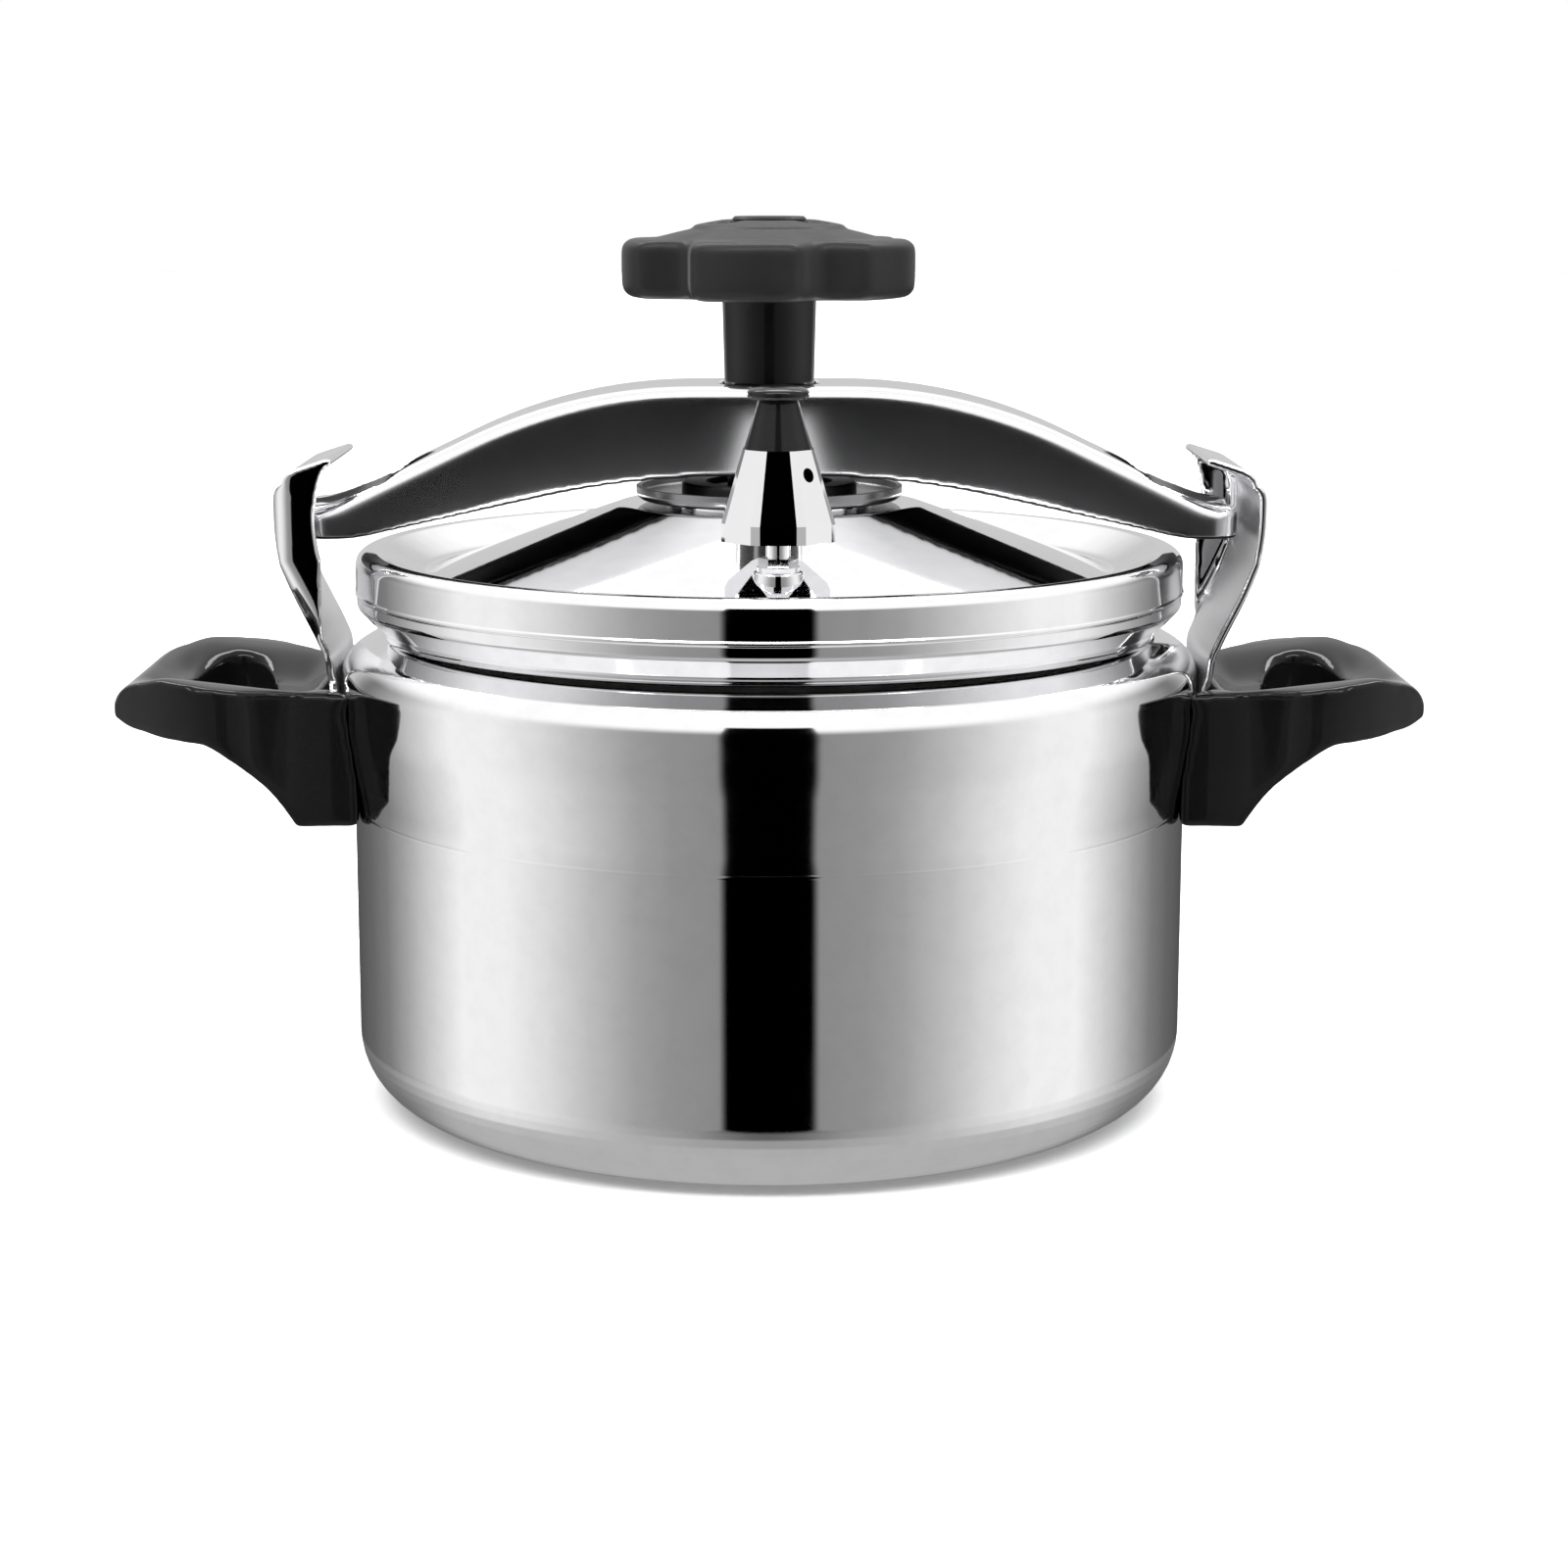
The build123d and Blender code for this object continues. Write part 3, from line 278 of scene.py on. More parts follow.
class Finish:
    """A node tree being built, with one method that adds any node."""

    def __init__(self, tree):
        self.tree = tree

    def node(self, kind, settings=None, inputs=None, output=0):
        """Adds a node and gives one of its outputs, or all of them where output is None."""
        made = self.tree.nodes.new(kind)
        for name, setting in (settings or {}).items():
            if name == "stops":
                set_stops(made.color_ramp.elements, setting)
            else:
                setattr(made, name, setting)
        for key, value in (inputs or {}).items():
            self.feed(made.inputs[key], value)
        outputs = [Value(self, socket) for socket in made.outputs]
        return outputs if output is None else outputs[output]

    def feed(self, socket, value):
        if isinstance(value, Value):
            self.tree.links.new(value.socket, socket)
        else:
            socket.default_value = value

    def maths(self, operation, first, second=0.0):
        return self.node("ShaderNodeMath", {"operation": operation}, {0: first, 1: second})

    def axes(self, vector):
        return self.node("ShaderNodeSeparateXYZ", None, {0: vector}, None)

    def noise(self, vector, scale, detail, roughness):
        inputs = {"Vector": vector, "Scale": scale, "Detail": detail, "Roughness": roughness}
        return self.node("ShaderNodeTexNoise", {"noise_dimensions": "3D"}, inputs)

    def noise_along(self, distance, pitch, detail, roughness):
        """Noise that varies in one direction only, once in each pitch."""
        inputs = {"W": distance / pitch, "Scale": 1.0, "Detail": detail, "Roughness": roughness}
        return self.node("ShaderNodeTexNoise", {"noise_dimensions": "1D"}, inputs)

    def between(self, value, low, high, out_low=0.0, out_high=1.0):
        """Smooth step from out_low at low to out_high at high."""
        settings = {"interpolation_type": "SMOOTHSTEP"}
        ends = {"From Min": low, "From Max": high, "To Min": out_low, "To Max": out_high}
        return self.node("ShaderNodeMapRange", settings, {"Value": value, **ends})

    def ramp(self, amount, stops):
        """Grey levels at given places from 0 to 1, with straight runs between them."""
        return self.node("ShaderNodeValToRGB", {"stops": stops}, {"Fac": amount})

    def mix_colour(self, amount, first, second):
        inputs = {0: amount, 6: first, 7: second}
        return self.node("ShaderNodeMix", {"data_type": "RGBA"}, inputs, output=2)

    def bump(self, height, distance=1.0):
        return self.node("ShaderNodeBump", None, {"Height": height, "Distance": distance})


class SurfaceFinish(Finish):
    """A material being built round its Principled shader."""

    def __init__(self, name, **sockets):
        self.material = bpy.data.materials.new("canner_" + name)
        self.material.use_nodes = True
        super().__init__(self.material.node_tree)
        self.shader = self.tree.nodes["Principled BSDF"]
        coordinates = self.node("ShaderNodeTexCoord", output=None)
        self.facing = coordinates[1]  # which way the surface faces on its own object
        self.place = coordinates[3]  # where a point of the surface lies on its own object
        for key, value in sockets.items():
            label = key.replace("_", " ").title().replace("Ior", "IOR")
            self.shader.inputs[label].default_value = value

    def join(self, rough, tone, normal=None):
        """Feeds the shader, and gives the finished material."""
        self.feed(self.shader.inputs["Roughness"], rough)
        self.feed(self.shader.inputs["Base Color"], tone)
        if normal:
            self.feed(self.shader.inputs["Normal"], normal)
        return self.material


def set_stops(elements, stops):
    """Gives a new ramp, which has two stops, its own stops of a place and a grey level."""
    elements.remove(elements[1])
    elements[0].position = stops[0][0]
    elements[0].color = grey(stops[0][1])
    for place, level in stops[1:]:
        elements.new(place).color = grey(level)


def grey(level):
    return (level, level, level, 1.0)


def shaded(rgb, shade):
    return tuple(channel * shade for channel in rgb) + (1.0,)


# ---- Finishes ----
def turned_metal(name, rgb, roughness, line_pitch, line_depth, body_line=None, base_line=None):
    """Bright metal with the fine rings of turning; a pot has a line round it and a satin base."""
    finish = SurfaceFinish(name, metallic=1.0)
    x, y, height = finish.axes(finish.place)
    along = (x * x + y * y).root() + height
    lines = finish.noise_along(along, line_pitch, 3.0, 0.6)
    broad_lines = finish.noise_along(along, line_pitch * 14, 2.0, 0.5)
    smears = finish.noise(finish.place, 26.0, 4.0, 0.55)
    grime = finish.noise(finish.place, 180.0, 3.0, 0.6)

    rough = roughness + (lines - 0.5) * 0.03 + (broad_lines - 0.5) * 0.02
    rough = rough + finish.between(smears, 0.52, 0.75, 0.0, 0.02)
    tone = finish.mix_colour(
        finish.between(grime, 0.35, 0.8), shaded(rgb, 1.0), shaded(rgb, 0.955)
    )
    surface = lines * line_depth
    if body_line:
        line_half = 0.6 * MM
        rough = rough + finish.between(height, body_line - line_half, body_line + line_half, 0.0, 0.02)
        base_top = base_line + 0.4 * MM
        rough = rough + finish.between(height, base_line - 1.2 * MM, base_top, 0.27, 0.0)
        groove = finish.between(abs(height - body_line), 0.0, line_half, 1.0, 0.0)
        surface = surface - groove * 60 * MICRON
    return finish.join(rough, tone, finish.bump(surface))


def plating(name, rgb, roughness, scratch_depth=0.8 * MICRON):
    """Bright plating with faint scratches and smears: the finish, its roughness and its colour."""
    finish = SurfaceFinish(name, metallic=1.0)
    grain = {"Vector": finish.place, "Scale": (60.0, 900.0, 700.0)}
    scratches = finish.noise(finish.node("ShaderNodeMapping", None, grain), 1.0, 3.0, 0.6)
    smears = finish.noise(finish.place, 34.0, 4.0, 0.55)
    rough = roughness + finish.between(smears, 0.5, 0.8, 0.0, 0.012) + (scratches - 0.5) * 0.01
    tone = finish.mix_colour(smears, shaded(rgb, 1.0), shaded(rgb, 0.94))
    finish.feed(finish.shader.inputs["Normal"], finish.bump(scratches, scratch_depth))
    return finish, rough, tone


def plated_metal(*look):
    finish, rough, tone = plating(*look)
    return finish.join(rough, tone)


def beam_metal(*look):
    """Plating that is bright on top, softer on the flanges, and painted near black inside the channel as
    shade.
    """
    finish, rough, tone = plating(*look)
    _, facing_y, facing_z = finish.axes(finish.facing)
    _, y, _ = finish.axes(finish.place)
    inner_side = (y * facing_y).below(-2 * MM)
    # inside marks the faces under the beam and on the inner side of its flanges, where the painted shade
    # goes
    inside = finish.maths("MAXIMUM", facing_z.below(-0.3), inner_side)
    flange = finish.between(abs(facing_y), 0.8, 0.98)
    rough = rough + flange * 0.13 + inside * 0.3
    # painted shade: faces inside the channel are coloured near black (0.035), as if in shadow, and made
    # rougher
    return finish.join(rough, finish.mix_colour(inside, tone, grey(0.035)))


def strip_metal(*look):
    """Plating that is bright on the edges and stops and satin on the strip's broad faces."""
    finish, rough, tone = plating(*look)
    facing_x, _, _ = finish.axes(finish.facing)
    broad = finish.between(abs(facing_x), 0.72, 0.9)
    return finish.join(rough + broad * 0.26, tone)


def moulding(name, rgb, roughness, coat, grain_scale, grain_depth):
    """Black moulded plastic with a faint flow pattern, fine grain and specks of dust."""
    gloss = {"specular_ior_level": 0.2, "coat_roughness": 0.05, "coat_weight": coat}
    finish = SurfaceFinish(name, **gloss)
    flow = finish.noise(finish.place, 40.0, 3.0, 0.55)
    grain = finish.noise(finish.place, grain_scale, 2.0, 0.5)
    specks = finish.noise(finish.place, 900.0, 1.0, 0.5)
    rough = roughness + (flow - 0.5) * 0.06 + finish.between(specks, 0.68, 0.76, 0.0, 0.05)
    paler = finish.between(flow, 0.35, 0.75, 0.0, 0.35)
    tone = finish.mix_colour(paler, shaded(rgb, 1.0), shaded(rgb, 1.7))
    return finish.join(rough, tone, finish.bump(grain, grain_depth))


def rubber(name, rgb):
    """Dull rubber with a powdery surface."""
    finish = SurfaceFinish(name, specular_ior_level=0.3)
    powder = finish.noise(finish.place, 220.0, 4.0, 0.6)
    pores = finish.noise(finish.place, 1400.0, 2.0, 0.5)
    tone = finish.mix_colour(powder, shaded(rgb, 0.8), shaded(rgb, 1.2))
    return finish.join(0.6 + (powder - 0.5) * 0.3, tone, finish.bump(pores, 40 * MICRON))


def floor_paper():
    """Plain pale backdrop paper."""
    finish = SurfaceFinish("floor_paper", specular_ior_level=0.1)
    speckle = finish.noise(finish.place, 30.0, 3.0, 0.6)
    return finish.join(0.9, finish.mix_colour(speckle, grey(0.93), grey(0.96)))


def make_finishes(scene):
    """Every material slot's finish, by the slot's name in the record."""
    colours, pot = scene.canner_colours, scene.canner_pot
    pot_lines = (pot.wall_top, pot.base_corner)
    aluminium, chrome, black = colours.aluminium, colours.chrome, colours.bakelite
    # turned metal: roughness, pitch of the rings, depth of the rings
    # plated metal: roughness, depth of the scratches
    # moulding: roughness, coat, scale of the grain, depth of the grain
    looks = {
        "pot_aluminium": (turned_metal, aluminium, 0.035, 0.22 * MM, 0.6 * MICRON, *pot_lines),
        "lid_aluminium": (turned_metal, aluminium, 0.035, 0.30 * MM, 0.6 * MICRON),
        "plate_steel": (turned_metal, colours.plate, 0.24, 0.35 * MM, 3 * MICRON),
        "bracket_steel": (strip_metal, chrome, 0.06),
        "beam_steel": (beam_metal, chrome, 0.05),
        "valve_chrome": (plated_metal, chrome, 0.06),
        "weight_chrome": (plated_metal, chrome, 0.045),
        "rivet_aluminium": (plated_metal, colours.rivet, 0.25, 10 * MICRON),
        "fixing_steel": (plated_metal, colours.fixing, 0.24, 10 * MICRON),
        "screw_steel": (plated_metal, colours.screw, 0.2, 10 * MICRON),
        "handle_bakelite": (moulding, black, 0.07, 0.0, 160.0, 2 * MICRON),
        "hub_bakelite": (moulding, black, 0.16, 0.15, 300.0, 10 * MICRON),
        "grip_black": (moulding, black, 0.16, 0.15, 300.0, 10 * MICRON),
        "knob_bakelite": (moulding, colours.knob, 0.40, 0.0, 700.0, 30 * MICRON),
        "ring_black": (moulding, colours.ring, 0.35, 0.0, 500.0, 20 * MICRON),
        "gasket_rubber": (rubber, colours.gasket),
        "plug_rubber": (rubber, colours.plug),
    }
    return {slot: make(slot, *look) for slot, (make, *look) in looks.items()}


# ---- Outlines and turned pieces ----
def rounded(corners, steps):
    """Outline points from corners (across, up, radius), with each corner turned by an arc."""
    points = []
    for index, (across, up, radius) in enumerate(corners):
        here = Vector((across, up))
        if radius == 0:
            points.append(here)
            continue
        before = (Vector(corners[index - 1][:2]) - here).normalized()
        after = (Vector(corners[index + 1][:2]) - here).normalized()
        half = before.angle(after) / 2
        reach = radius / math.tan(half)
        centre = here + (before + after).normalized() * (radius / math.sin(half))
        start = here + before * reach - centre
        turn = start.angle_signed(here + after * reach - centre)
        for step in range(steps + 1):
            angle = -turn * step / steps
            cos, sin = math.cos(angle), math.sin(angle)
            spoke = Vector((start.x * cos - start.y * sin, start.x * sin + start.y * cos))
            points.append(centre + spoke)
    return with_supports(points)


def with_supports(points, reach=0.35 * MM):
    """Adds a point close to each end of every long straight run, so that it shades flat."""
    kept = [points[0]]
    for here, there in zip(points, points[1:]):
        run = there - here
        if run.length > 4 * reach:
            kept += [here + run.normalized() * reach, there - run.normalized() * reach]
        kept.append(there)
    return kept


def lathe(name, outline, steps, centre=(0.0, 0.0), smooth_angle=32):
    """Draws an outline point by point from a plane's middle and spins it about an upright axis."""
    deselect_all()
    first = outline[0]
    bpy.ops.mesh.primitive_plane_add(size=MM, location=(centre[0] + first.x, centre[1], first.y))
    piece = bpy.context.object
    piece.name = piece.data.name = name
    bpy.ops.object.transform_apply(location=True)
    bpy.ops.object.mode_set(mode="EDIT")
    bpy.ops.mesh.select_all(action="SELECT")
    bpy.ops.mesh.merge(type="CENTER")
    for here, there in zip(outline, outline[1:]):
        step = (there.x - here.x, 0, there.y - here.y)
        bpy.ops.mesh.extrude_region_move(TRANSFORM_OT_translate={"value": step})
    bpy.ops.mesh.select_all(action="SELECT")
    bpy.ops.mesh.spin(steps=steps, angle=math.tau, center=(*centre, 0), axis=(0, 0, 1))
    bpy.ops.mesh.select_all(action="SELECT")
    bpy.ops.mesh.remove_doubles(threshold=2 * MICRON)
    bpy.ops.mesh.normals_make_consistent(inside=False)
    bpy.ops.object.mode_set(mode="OBJECT")
    bpy.ops.object.shade_smooth_by_angle(angle=math.radians(smooth_angle))
    return piece


# ---- Softened copies of CAD nodes ----
def copy_of_node(name, node):
    """A merged copy of a CAD node, to be shaped further."""
    deselect_all()
    source = frame["nodes"][node]
    source.select_set(True)
    bpy.context.view_layer.objects.active = source
    bpy.ops.object.duplicate()
    piece = bpy.context.object
    bpy.ops.object.parent_clear(type="CLEAR_KEEP_TRANSFORM")
    piece.name = piece.data.name = name
    for key in [key for key in piece.keys() if key.startswith("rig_")]:
        del piece[key]
    bpy.ops.object.mode_set(mode="EDIT")
    bpy.ops.mesh.select_all(action="SELECT")
    bpy.ops.mesh.remove_doubles(threshold=5 * MICRON)
    bpy.ops.object.mode_set(mode="OBJECT")
    return piece


def soft_copy(name, node, sizes):
    """A copy of a CAD node in even small faces with its edges rounded over."""
    piece = copy_of_node(name, node)
    apply_modifier(piece, "REMESH", mode="VOXEL", voxel_size=sizes.grain)
    smooth(piece, sizes.soften)
    return piece


def reshape(piece, move, settle):
    """Moves every corner of a piece to where the given rule sends it, then evens the surface."""
    mesh = bmesh.new()
    mesh.from_mesh(piece.data)
    for corner in mesh.verts:
        corner.co = move(corner.co)
    mesh.to_mesh(piece.data)
    mesh.free()
    smooth(piece, settle)


def smooth(piece, iterations):
    apply_modifier(piece, "SMOOTH", factor=0.5, iterations=iterations)
    bpy.ops.object.shade_smooth()


def step_up(value, low, high):
    """0 below low, 1 above high, and a smooth step between."""
    share = min(max((value - low) / (high - low), 0.0), 1.0)
    return share * share * (3 - 2 * share)


def swell(value, middle, reach):
    """1 at the middle, fading to nothing over about twice the reach."""
    return math.exp(-(((value - middle) / reach) ** 2))


def on_circle(radius, degrees):
    return Vector((math.cos(math.radians(degrees)), math.sin(math.radians(degrees)))) * radius


# ---- Shared steps ----
def deselect_all():
    for thing in bpy.context.selected_objects:
        thing.select_set(False)


def apply_modifier(piece, kind, **settings):
    """Adds a modifier with its settings and applies it."""
    deselect_all()
    piece.select_set(True)
    bpy.context.view_layer.objects.active = piece
    modifier = piece.modifiers.new(kind.title(), kind)
    for key, value in settings.items():
        setattr(modifier, key, value)
    bpy.ops.object.modifier_apply(modifier=modifier.name)


def dress(piece, slot, body, *replaced):
    """Gives a piece its finish and its body, and hides the CAD nodes that it stands for."""
    piece.data.materials.clear()
    piece.data.materials.append(bpy.data.materials["canner_" + slot])
    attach(piece, body)
    if replaced:
        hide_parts(*replaced)


# ---- Operators: one for each piece or group of like pieces ----
class CANNER_OT_finishes(bpy.types.Operator):
    """Make every finish and put it on the CAD nodes"""

    bl_idname = "canner.finishes"
    bl_label = "Finishes"

    def execute(self, context):
        finishes = make_finishes(context.scene)
        for part in frame["record"]["subparts"]:
            node = frame["nodes"][part["node"]]
            node.data.materials.clear()
            node.data.materials.append(finishes[part["material_slot"]])
        return {"FINISHED"}


class CANNER_OT_stage(bpy.types.Operator):
    """Set the floor, the studio light and the camera"""

    bl_idname = "canner.stage"
    bl_label = "Stage"

    # Grey level of the surroundings at each angle round from the front, in degrees
    SIDE_LEVELS = (
        (0, 0.0), (11.6, 0.0), (13.4, 0.28), (26, 0.31), (36, 0.38), (49, 0.56), (62, 0.78),
        (76, 0.96), (92, 0.98), (104, 0.70), (118, 0.40), (130, 0.22), (143, 0.14), (162, 0.09),
        (180, 0.07),
    )
    CARD_EDGE = 12.5  # degrees round from the front
    # Where one level gives way to the next, as the height of a direction of length 1
    CARD_TOP = (0.58, 0.64)
    SIDES_TOP = (0.22, 0.55)
    BACK_FOOT = (-0.145, -0.10)
    UNDERSIDE = (-0.62, -0.56)
    STRIP_FOOT = 0.3
    # Where the strip lamps start and end, along Y and along X
    STRIP_INNER = (0.40, 0.43)
    STRIP_OUTER = (0.55, 0.58)
    STRIP_END = (0.55, 0.62)
    BACK_ANGLES = (132, 150)  # degrees between which the sides give way to the back
    SKY, BACK, BELOW, STRIP, SEEN = 1.12, 0.62, 0.49, 9.0, 1.0  # levels

    def execute(self, context):
        self.floor()
        self.overhead(context.scene)
        self.studio(context.scene)
        self.camera(context.scene)
        return {"FINISHED"}

    def floor(self):
        deselect_all()
        bpy.ops.mesh.primitive_circle_add(
            vertices=96, radius=6.0, fill_type="NGON", location=(0, 0, 0)
        )
        ground = bpy.context.object
        ground.name = "floor"
        ground.visible_glossy = False
        ground.data.materials.append(floor_paper())

    def overhead(self, scene):
        """A broad light that whitens the floor without showing in the metal."""
        lamp = bpy.data.lights.new("overhead", "AREA")
        lamp.shape = "DISK"
        lamp.size = 3.0
        lamp.energy = 60.0
        holder = bpy.data.objects.new("overhead", lamp)
        holder.location = (0, -0.4, 2.4)
        holder.visible_glossy = False
        scene.collection.objects.link(holder)

    def studio(self, scene):
        """White surroundings with grey sides, two strip lamps and a narrow black card in front."""
        world = bpy.data.worlds.new("studio")
        scene.world = world
        world.use_nodes = True
        finish = Finish(world.node_tree)
        x, y, up = finish.axes(finish.node("ShaderNodeTexCoord", output=0))
        angle = finish.maths("ARCTAN2", abs(x), -y) / math.pi

        sides = finish.ramp(angle, [(degrees / 180, level) for degrees, level in self.SIDE_LEVELS])
        back_start, back_full = self.BACK_ANGLES
        back = finish.between(angle, back_start / 180, back_full / 180)
        back = back * finish.between(up, *self.BACK_FOOT)
        sides = sides * (1 - back) + self.BACK * back

        card = 1 - angle.above(self.CARD_EDGE / 180)
        sky = card * finish.between(up, *self.CARD_TOP)
        sky = sky + (1 - card) * finish.between(up, *self.SIDES_TOP)
        level = sides * (1 - sky) + self.SKY * sky

        strip = finish.between(abs(y), *self.STRIP_INNER)
        strip = strip * finish.between(abs(y), *self.STRIP_OUTER, 1.0, 0.0)
        strip = strip * finish.between(abs(x), *self.STRIP_END, 1.0, 0.0) * up.above(self.STRIP_FOOT)
        level = level + strip * self.STRIP

        below = finish.between(up, *self.UNDERSIDE, 1.0, 0.0)
        level = level * (1 - below) + self.BELOW * below
        seen = finish.node("ShaderNodeLightPath", output=0)
        level = level * (1 - seen) + self.SEEN * seen
        finish.feed(world.node_tree.nodes["Background"].inputs["Color"], level)

    def camera(self, scene):
        eye = bpy.data.cameras.new("camera")
        eye.sensor_width = 36.0
        eye.lens = 75.9
        eye.shift_x = 0.0094
        eye.clip_end = 50.0
        tilt_down = 0.19
        holder = bpy.data.objects.new("camera", eye)
        holder.location = (0, -0.8695, 0.2494)
        holder.rotation_euler = (math.pi / 2 - tilt_down, 0, 0)
        scene.collection.objects.link(holder)
        scene.camera = holder
        scene.view_settings.view_transform = "Standard"


class CANNER_OT_pot(bpy.types.Operator):
    """Spin the pot's shell"""

    bl_idname = "canner.pot"
    bl_label = "Pot"

    def execute(self, context):
        sizes = context.scene.canner_pot
        shell = lathe("pot_shell", self.outline(sizes), steps=256)
        apply_modifier(shell, "SOLIDIFY", thickness=sizes.wall, offset=-1, use_even_offset=True)
        sharp = {"limit_method": "ANGLE", "angle_limit": math.radians(60)}
        apply_modifier(shell, "BEVEL", width=sizes.edge_bevel, segments=3, **sharp)
        dress(shell, "pot_aluminium", "pot", "pot_body")
        return {"FINISHED"}

    def outline(self, sizes):
        radius, widest, wall_top = sizes.wall_radius, POT_HIGH.x, sizes.wall_top
        neck = widest - sizes.neck_step
        foot = radius - sizes.foot_width
        corners = [
            (0, sizes.foot_rise, 0),
            (foot - sizes.foot_step, sizes.foot_rise, 0.8 * MM),
            (foot, 0, 0.6 * MM),
            (radius, 0, sizes.base_corner),
            (radius, wall_top + sizes.flare_start, sizes.flare_bend),
            (widest, wall_top + sizes.flare_end, sizes.flare_bend),
            (widest, wall_top + sizes.shoulder, sizes.shoulder_bend),
            (neck, wall_top + sizes.neck_foot, sizes.neck_bend),
            (neck, POT_HIGH.z, 0),
        ]
        return rounded(corners, steps=12)


class CANNER_OT_lid(bpy.types.Operator):
    """Spin the lid's sheet, and the flat bosses under the valve and the plug"""

    bl_idname = "canner.lid"
    bl_label = "Lid"

    def execute(self, context):
        sizes = context.scene.canner_lid
        self.top = LID_HIGH.z
        self.crest = self.top - sizes.crest_drop
        self.crest_inner = LID_HIGH.x - sizes.crest_width
        self.trough = self.crest_inner - sizes.trough_width
        self.trough_up = self.crest - sizes.trough_depth
        sheet = lathe("lid_sheet", self.outline(sizes), steps=256)
        apply_modifier(sheet, "SOLIDIFY", thickness=sizes.sheet, offset=-1, use_even_offset=True)
        dress(sheet, "lid_aluminium", "lid", "lid_cover")
        self.boss("valve_boss", (NUT_LOW + NUT_HIGH) / 2, sizes)
        self.boss("plug_boss", (PLUG_LOW + PLUG_HIGH) / 2, sizes)
        return {"FINISHED"}

    def outline(self, sizes):
        skirt = LID_HIGH.x
        bead, bead_up = skirt + sizes.bead, self.crest - sizes.bead_drop
        under_bead, lip_up = skirt - sizes.skirt_step, self.crest - sizes.skirt_height
        corners = [
            (0, self.top, 0),
            (sizes.flat_radius, self.top, sizes.flat_bend),
            (self.trough, self.trough_up, sizes.trough_bend),
            (self.crest_inner, self.crest, sizes.crest_inner_bend),
            (skirt, self.crest, sizes.crest_outer_bend),
            (skirt, bead_up + 0.6 * MM, 0.4 * MM),
            (bead, bead_up + 0.15 * MM, 0.3 * MM),
            (bead, bead_up - 0.35 * MM, 0.3 * MM),
            (under_bead, bead_up - 0.9 * MM, 0.4 * MM),
            (under_bead, lip_up, sizes.skirt_bend),
            (under_bead - sizes.lip, lip_up - sizes.lip, 0),
        ]
        return rounded(corners, steps=8)

    def boss(self, name, middle, sizes):
        """A round boss whose flat top is the seat and whose foot sinks into the sloping sheet."""
        slope = (self.top - self.trough_up) / (self.trough - sizes.flat_radius)
        low_side = math.hypot(middle.x, middle.y) + 7 * MM
        foot = self.top - slope * (low_side - sizes.flat_radius) - sizes.boss_sink
        seat = NUT_LOW.z
        corners = [
            (0, seat, 0),
            (sizes.boss_radius, seat, sizes.boss_edge),
            (sizes.boss_foot, foot, 0),
            (0, foot, 0),
        ]
        boss = lathe(name, rounded(corners, steps=5), steps=64, centre=(middle.x, middle.y))
        dress(boss, "lid_aluminium", "lid")


class CANNER_OT_handles(bpy.types.Operator):
    """Round the two moulded handles and dish their wings"""

    bl_idname = "canner.handles"
    bl_label = "Handles"

    def execute(self, context):
        sizes = context.scene.canner_handles
        dish = self.dish(sizes, context.scene.canner_pot.wall_radius)
        for side in ("left", "right"):
            grip = soft_copy(f"handle_moulding_{side}", f"handle_{side}", sizes)
            reshape(grip, dish, sizes.settle)
            dress(grip, "handle_bakelite", "pot", f"handle_{side}")
        return {"FINISHED"}

    def dish(self, sizes, wall):
        """The rule that sinks the wing's top round the finger gap and thins its tip."""
        depth, drop, rise = sizes.dish_depth, sizes.tip_drop, sizes.tip_rise
        flat, edge = sizes.dish_flat, sizes.dish_edge
        start, full, fade, end = sizes.dish_start, sizes.dish_full, sizes.dish_fade, sizes.dish_end
        tip_start, tip_end = sizes.tip_start, sizes.tip_end
        low, middle_up, high = sizes.wing_low, sizes.wing_middle, sizes.wing_high

        def move(corner):
            reach, across, up = abs(corner.x) - wall, abs(corner.y), corner.z
            middle = 1 - step_up(across, flat, edge)
            gap = step_up(reach, start, full) * (1 - step_up(reach, fade, end))
            tip = step_up(reach, tip_start, tip_end)
            corner.z -= step_up(up, low, high) * (depth * middle * gap + drop * tip)
            corner.z += (1 - step_up(up, low, middle_up)) * rise * tip
            corner.x -= math.copysign(rise * tip, corner.x)
            return corner

        return move


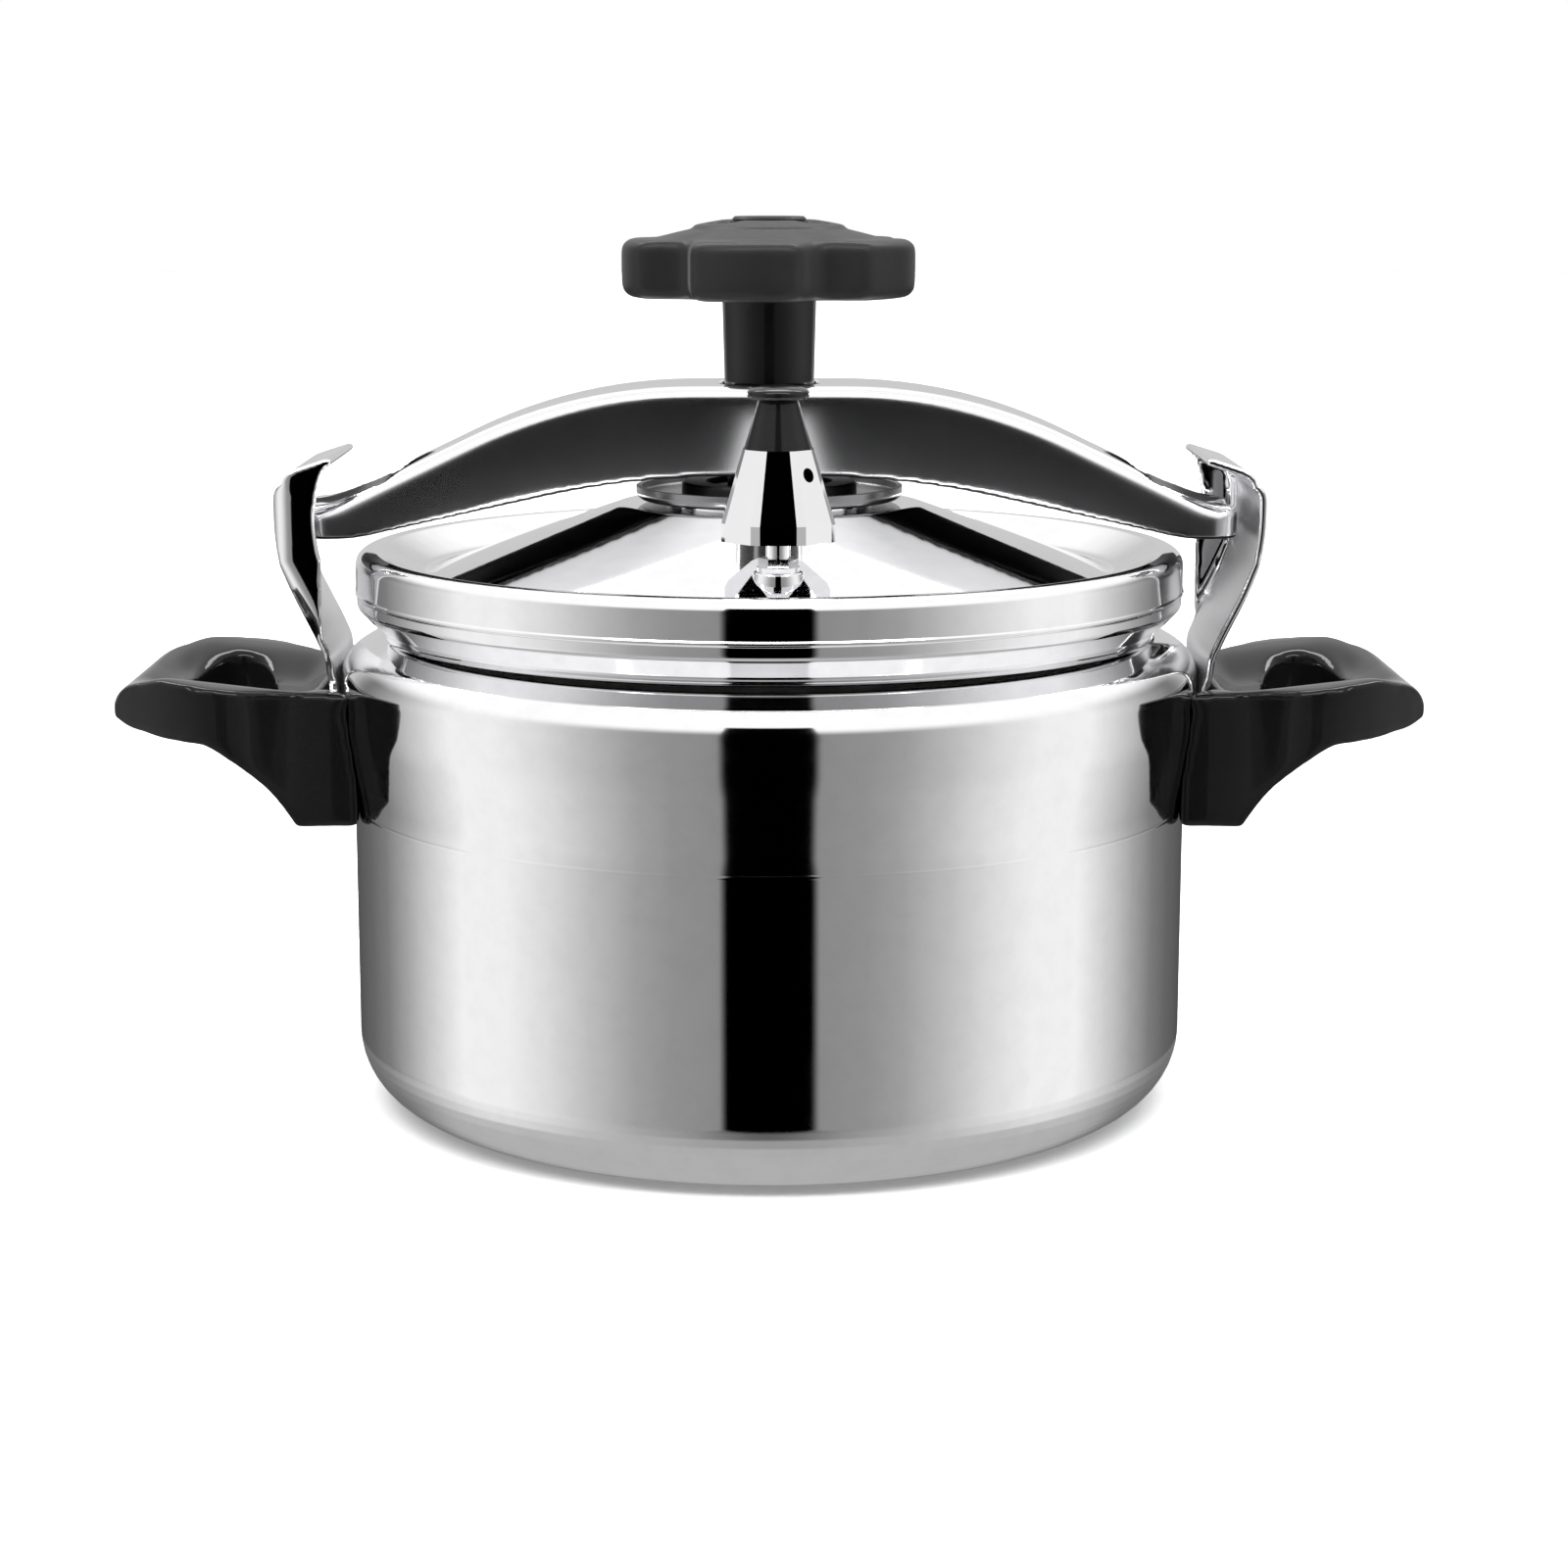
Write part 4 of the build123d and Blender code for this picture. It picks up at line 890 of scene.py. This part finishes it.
class CANNER_OT_knob(bpy.types.Operator):
    """Round the knob, deepen the valleys between its lobes and sink its three recesses"""

    bl_idname = "canner.knob"
    bl_label = "Knob"

    LOBES = 5
    FRONT_LOBE = -100  # degrees from +X
    VALLEY = (20, 35)  # degrees from a lobe's middle where a valley starts and is full
    RECESSES = (-30, 90, 210)  # degrees from +X

    def execute(self, context):
        sizes = context.scene.canner_knob
        knob = soft_copy("knob_moulding", "knob", sizes)
        reshape(knob, self.shape(sizes), sizes.settle)
        knob.visible_glossy = False
        dress(knob, "knob_bakelite", "spindle", "knob")
        return {"FINISHED"}

    def shape(self, sizes):
        """The rule that deepens the valleys, leaves a raised disc and sinks the recesses."""
        valley, inner, outer = sizes.valley, sizes.valley_inner, sizes.valley_outer
        disc, disc_end, disc_rise = sizes.disc_radius, sizes.disc_radius + sizes.disc_edge, sizes.disc_rise
        floor, rim, depth = sizes.recess_floor, sizes.recess_radius, sizes.recess_depth
        top_low, top_high = KNOB_LOW.z + sizes.top_start, KNOB_HIGH.z - sizes.top_full
        middles = [on_circle(sizes.recess_place, degrees) for degrees in self.RECESSES]
        half_lobe = 180 / self.LOBES

        def move(corner):
            radius = math.hypot(corner.x, corner.y)
            if radius < MM:
                return corner
            angle = math.degrees(math.atan2(corner.y, corner.x)) - self.FRONT_LOBE
            from_lobe = abs((angle + half_lobe) % (2 * half_lobe) - half_lobe)
            share = step_up(from_lobe, *self.VALLEY) * step_up(radius, inner, outer)
            corner.xy *= (radius - valley * share) / radius
            drop = disc_rise * step_up(radius, disc, disc_end)
            for middle in middles:
                drop += depth * (1 - step_up((corner.xy - middle).length, floor, rim))
            corner.z -= step_up(corner.z, top_low, top_high) * drop
            return corner

        return move


class CANNER_OT_brackets(bpy.types.Operator):
    """Round the brackets' edges and bends and bow their side stops"""

    bl_idname = "canner.brackets"
    bl_label = "Brackets"

    LEAN = 0.506  # how far the strip leans out for each unit up

    def execute(self, context):
        sizes = context.scene.canner_brackets
        for side, stop_side in (("left", -1), ("right", 1)):
            strip = soft_copy(f"bracket_strip_{side}", f"bracket_{side}", sizes)
            reshape(strip, self.bow(sizes, stop_side), sizes.settle)
            dress(strip, "bracket_steel", "pot", f"bracket_{side}")
        return {"FINISHED"}

    def bow(self, sizes, stop_side):
        """The rule that rounds the strip's bends and curves the side stop at its outer edge."""
        bend_out, bend_up = BRACKET_HIGH.x - sizes.hook_bend, sizes.hook_bend_foot
        upper = (sizes.lean_top, sizes.lean_top_reach)
        lower = (sizes.lean_foot, sizes.lean_foot_reach)
        upper_ease, lower_ease = sizes.lean_top_ease, sizes.lean_foot_ease
        lean_top, stop_foot, stop_inner = sizes.lean_top, sizes.stop_foot, sizes.stop_inner
        width, depth = sizes.bow_width, sizes.bow_depth

        def move(corner):
            side = math.copysign(1.0, corner.x)
            out, up = abs(corner.x) - bend_out, corner.z - bend_up
            if out > 0 and up > 0:
                pull = max(out, up) / math.hypot(out, up) - 1
                corner.x += side * out * pull
                corner.z += up * pull
            corner.x -= side * upper_ease * swell(corner.z, *upper)
            corner.x += side * lower_ease * swell(corner.z, *lower)
            if corner.y * stop_side < stop_inner or corner.z < stop_foot:
                return corner
            edge = BRACKET_HIGH.x - max(lean_top - corner.z, 0.0) * self.LEAN
            share = min(max((width - (edge - abs(corner.x))) / width, 0.0), 1.0)
            corner.y -= stop_side * depth * share * share
            return corner

        return move


class CANNER_OT_beam(bpy.types.Operator):
    """Round the clamp beam's edges and its dished ends"""

    bl_idname = "canner.beam"
    bl_label = "Clamp beam"

    def execute(self, context):
        beam = soft_copy("beam_channel", "clamp_beam", context.scene.canner_beam)
        dress(beam, "beam_steel", "beam", "clamp_beam")
        return {"FINISHED"}


class CANNER_PT_panel(bpy.types.Panel):
    """Lists the canner's operators and sizes"""

    bl_idname = "CANNER_PT_panel"
    bl_label = "Pressure Canner"
    bl_space_type = "VIEW_3D"
    bl_region_type = "UI"
    bl_category = "Canner"

    def draw(self, context):
        for operator in OPERATORS:
            self.layout.operator(operator.bl_idname)
        for group in GROUPS:
            column = self.layout.column(align=True)
            settings = getattr(context.scene, group)
            for name in settings.bl_rna.properties.keys():
                if name not in ("rna_type", "name"):
                    column.prop(settings, name)


OPERATORS = (
    CANNER_OT_finishes,
    CANNER_OT_stage,
    CANNER_OT_pot,
    CANNER_OT_lid,
    CANNER_OT_handles,
    CANNER_OT_knob,
    CANNER_OT_brackets,
    CANNER_OT_beam,
)
GROUPS = {
    "canner_pot": PotSizes,
    "canner_lid": LidSizes,
    "canner_handles": HandleSizes,
    "canner_knob": KnobSizes,
    "canner_brackets": BracketSizes,
    "canner_beam": BeamSizes,
    "canner_colours": FinishColours,
}


def register():
    for group, kind in GROUPS.items():
        bpy.utils.register_class(kind)
        setattr(bpy.types.Scene, group, bpy.props.PointerProperty(type=kind))
    for operator in OPERATORS:
        bpy.utils.register_class(operator)
    bpy.utils.register_class(CANNER_PT_panel)


def unregister():
    bpy.utils.unregister_class(CANNER_PT_panel)
    for operator in reversed(OPERATORS):
        bpy.utils.unregister_class(operator)
    for group, kind in GROUPS.items():
        delattr(bpy.types.Scene, group)
        bpy.utils.unregister_class(kind)


def main():
    """Registers everything and builds it in order."""
    register()
    for operator in OPERATORS:
        _, action = operator.bl_idname.split(".")
        getattr(bpy.ops.canner, action)()


if __name__ == "__main__":
    main()
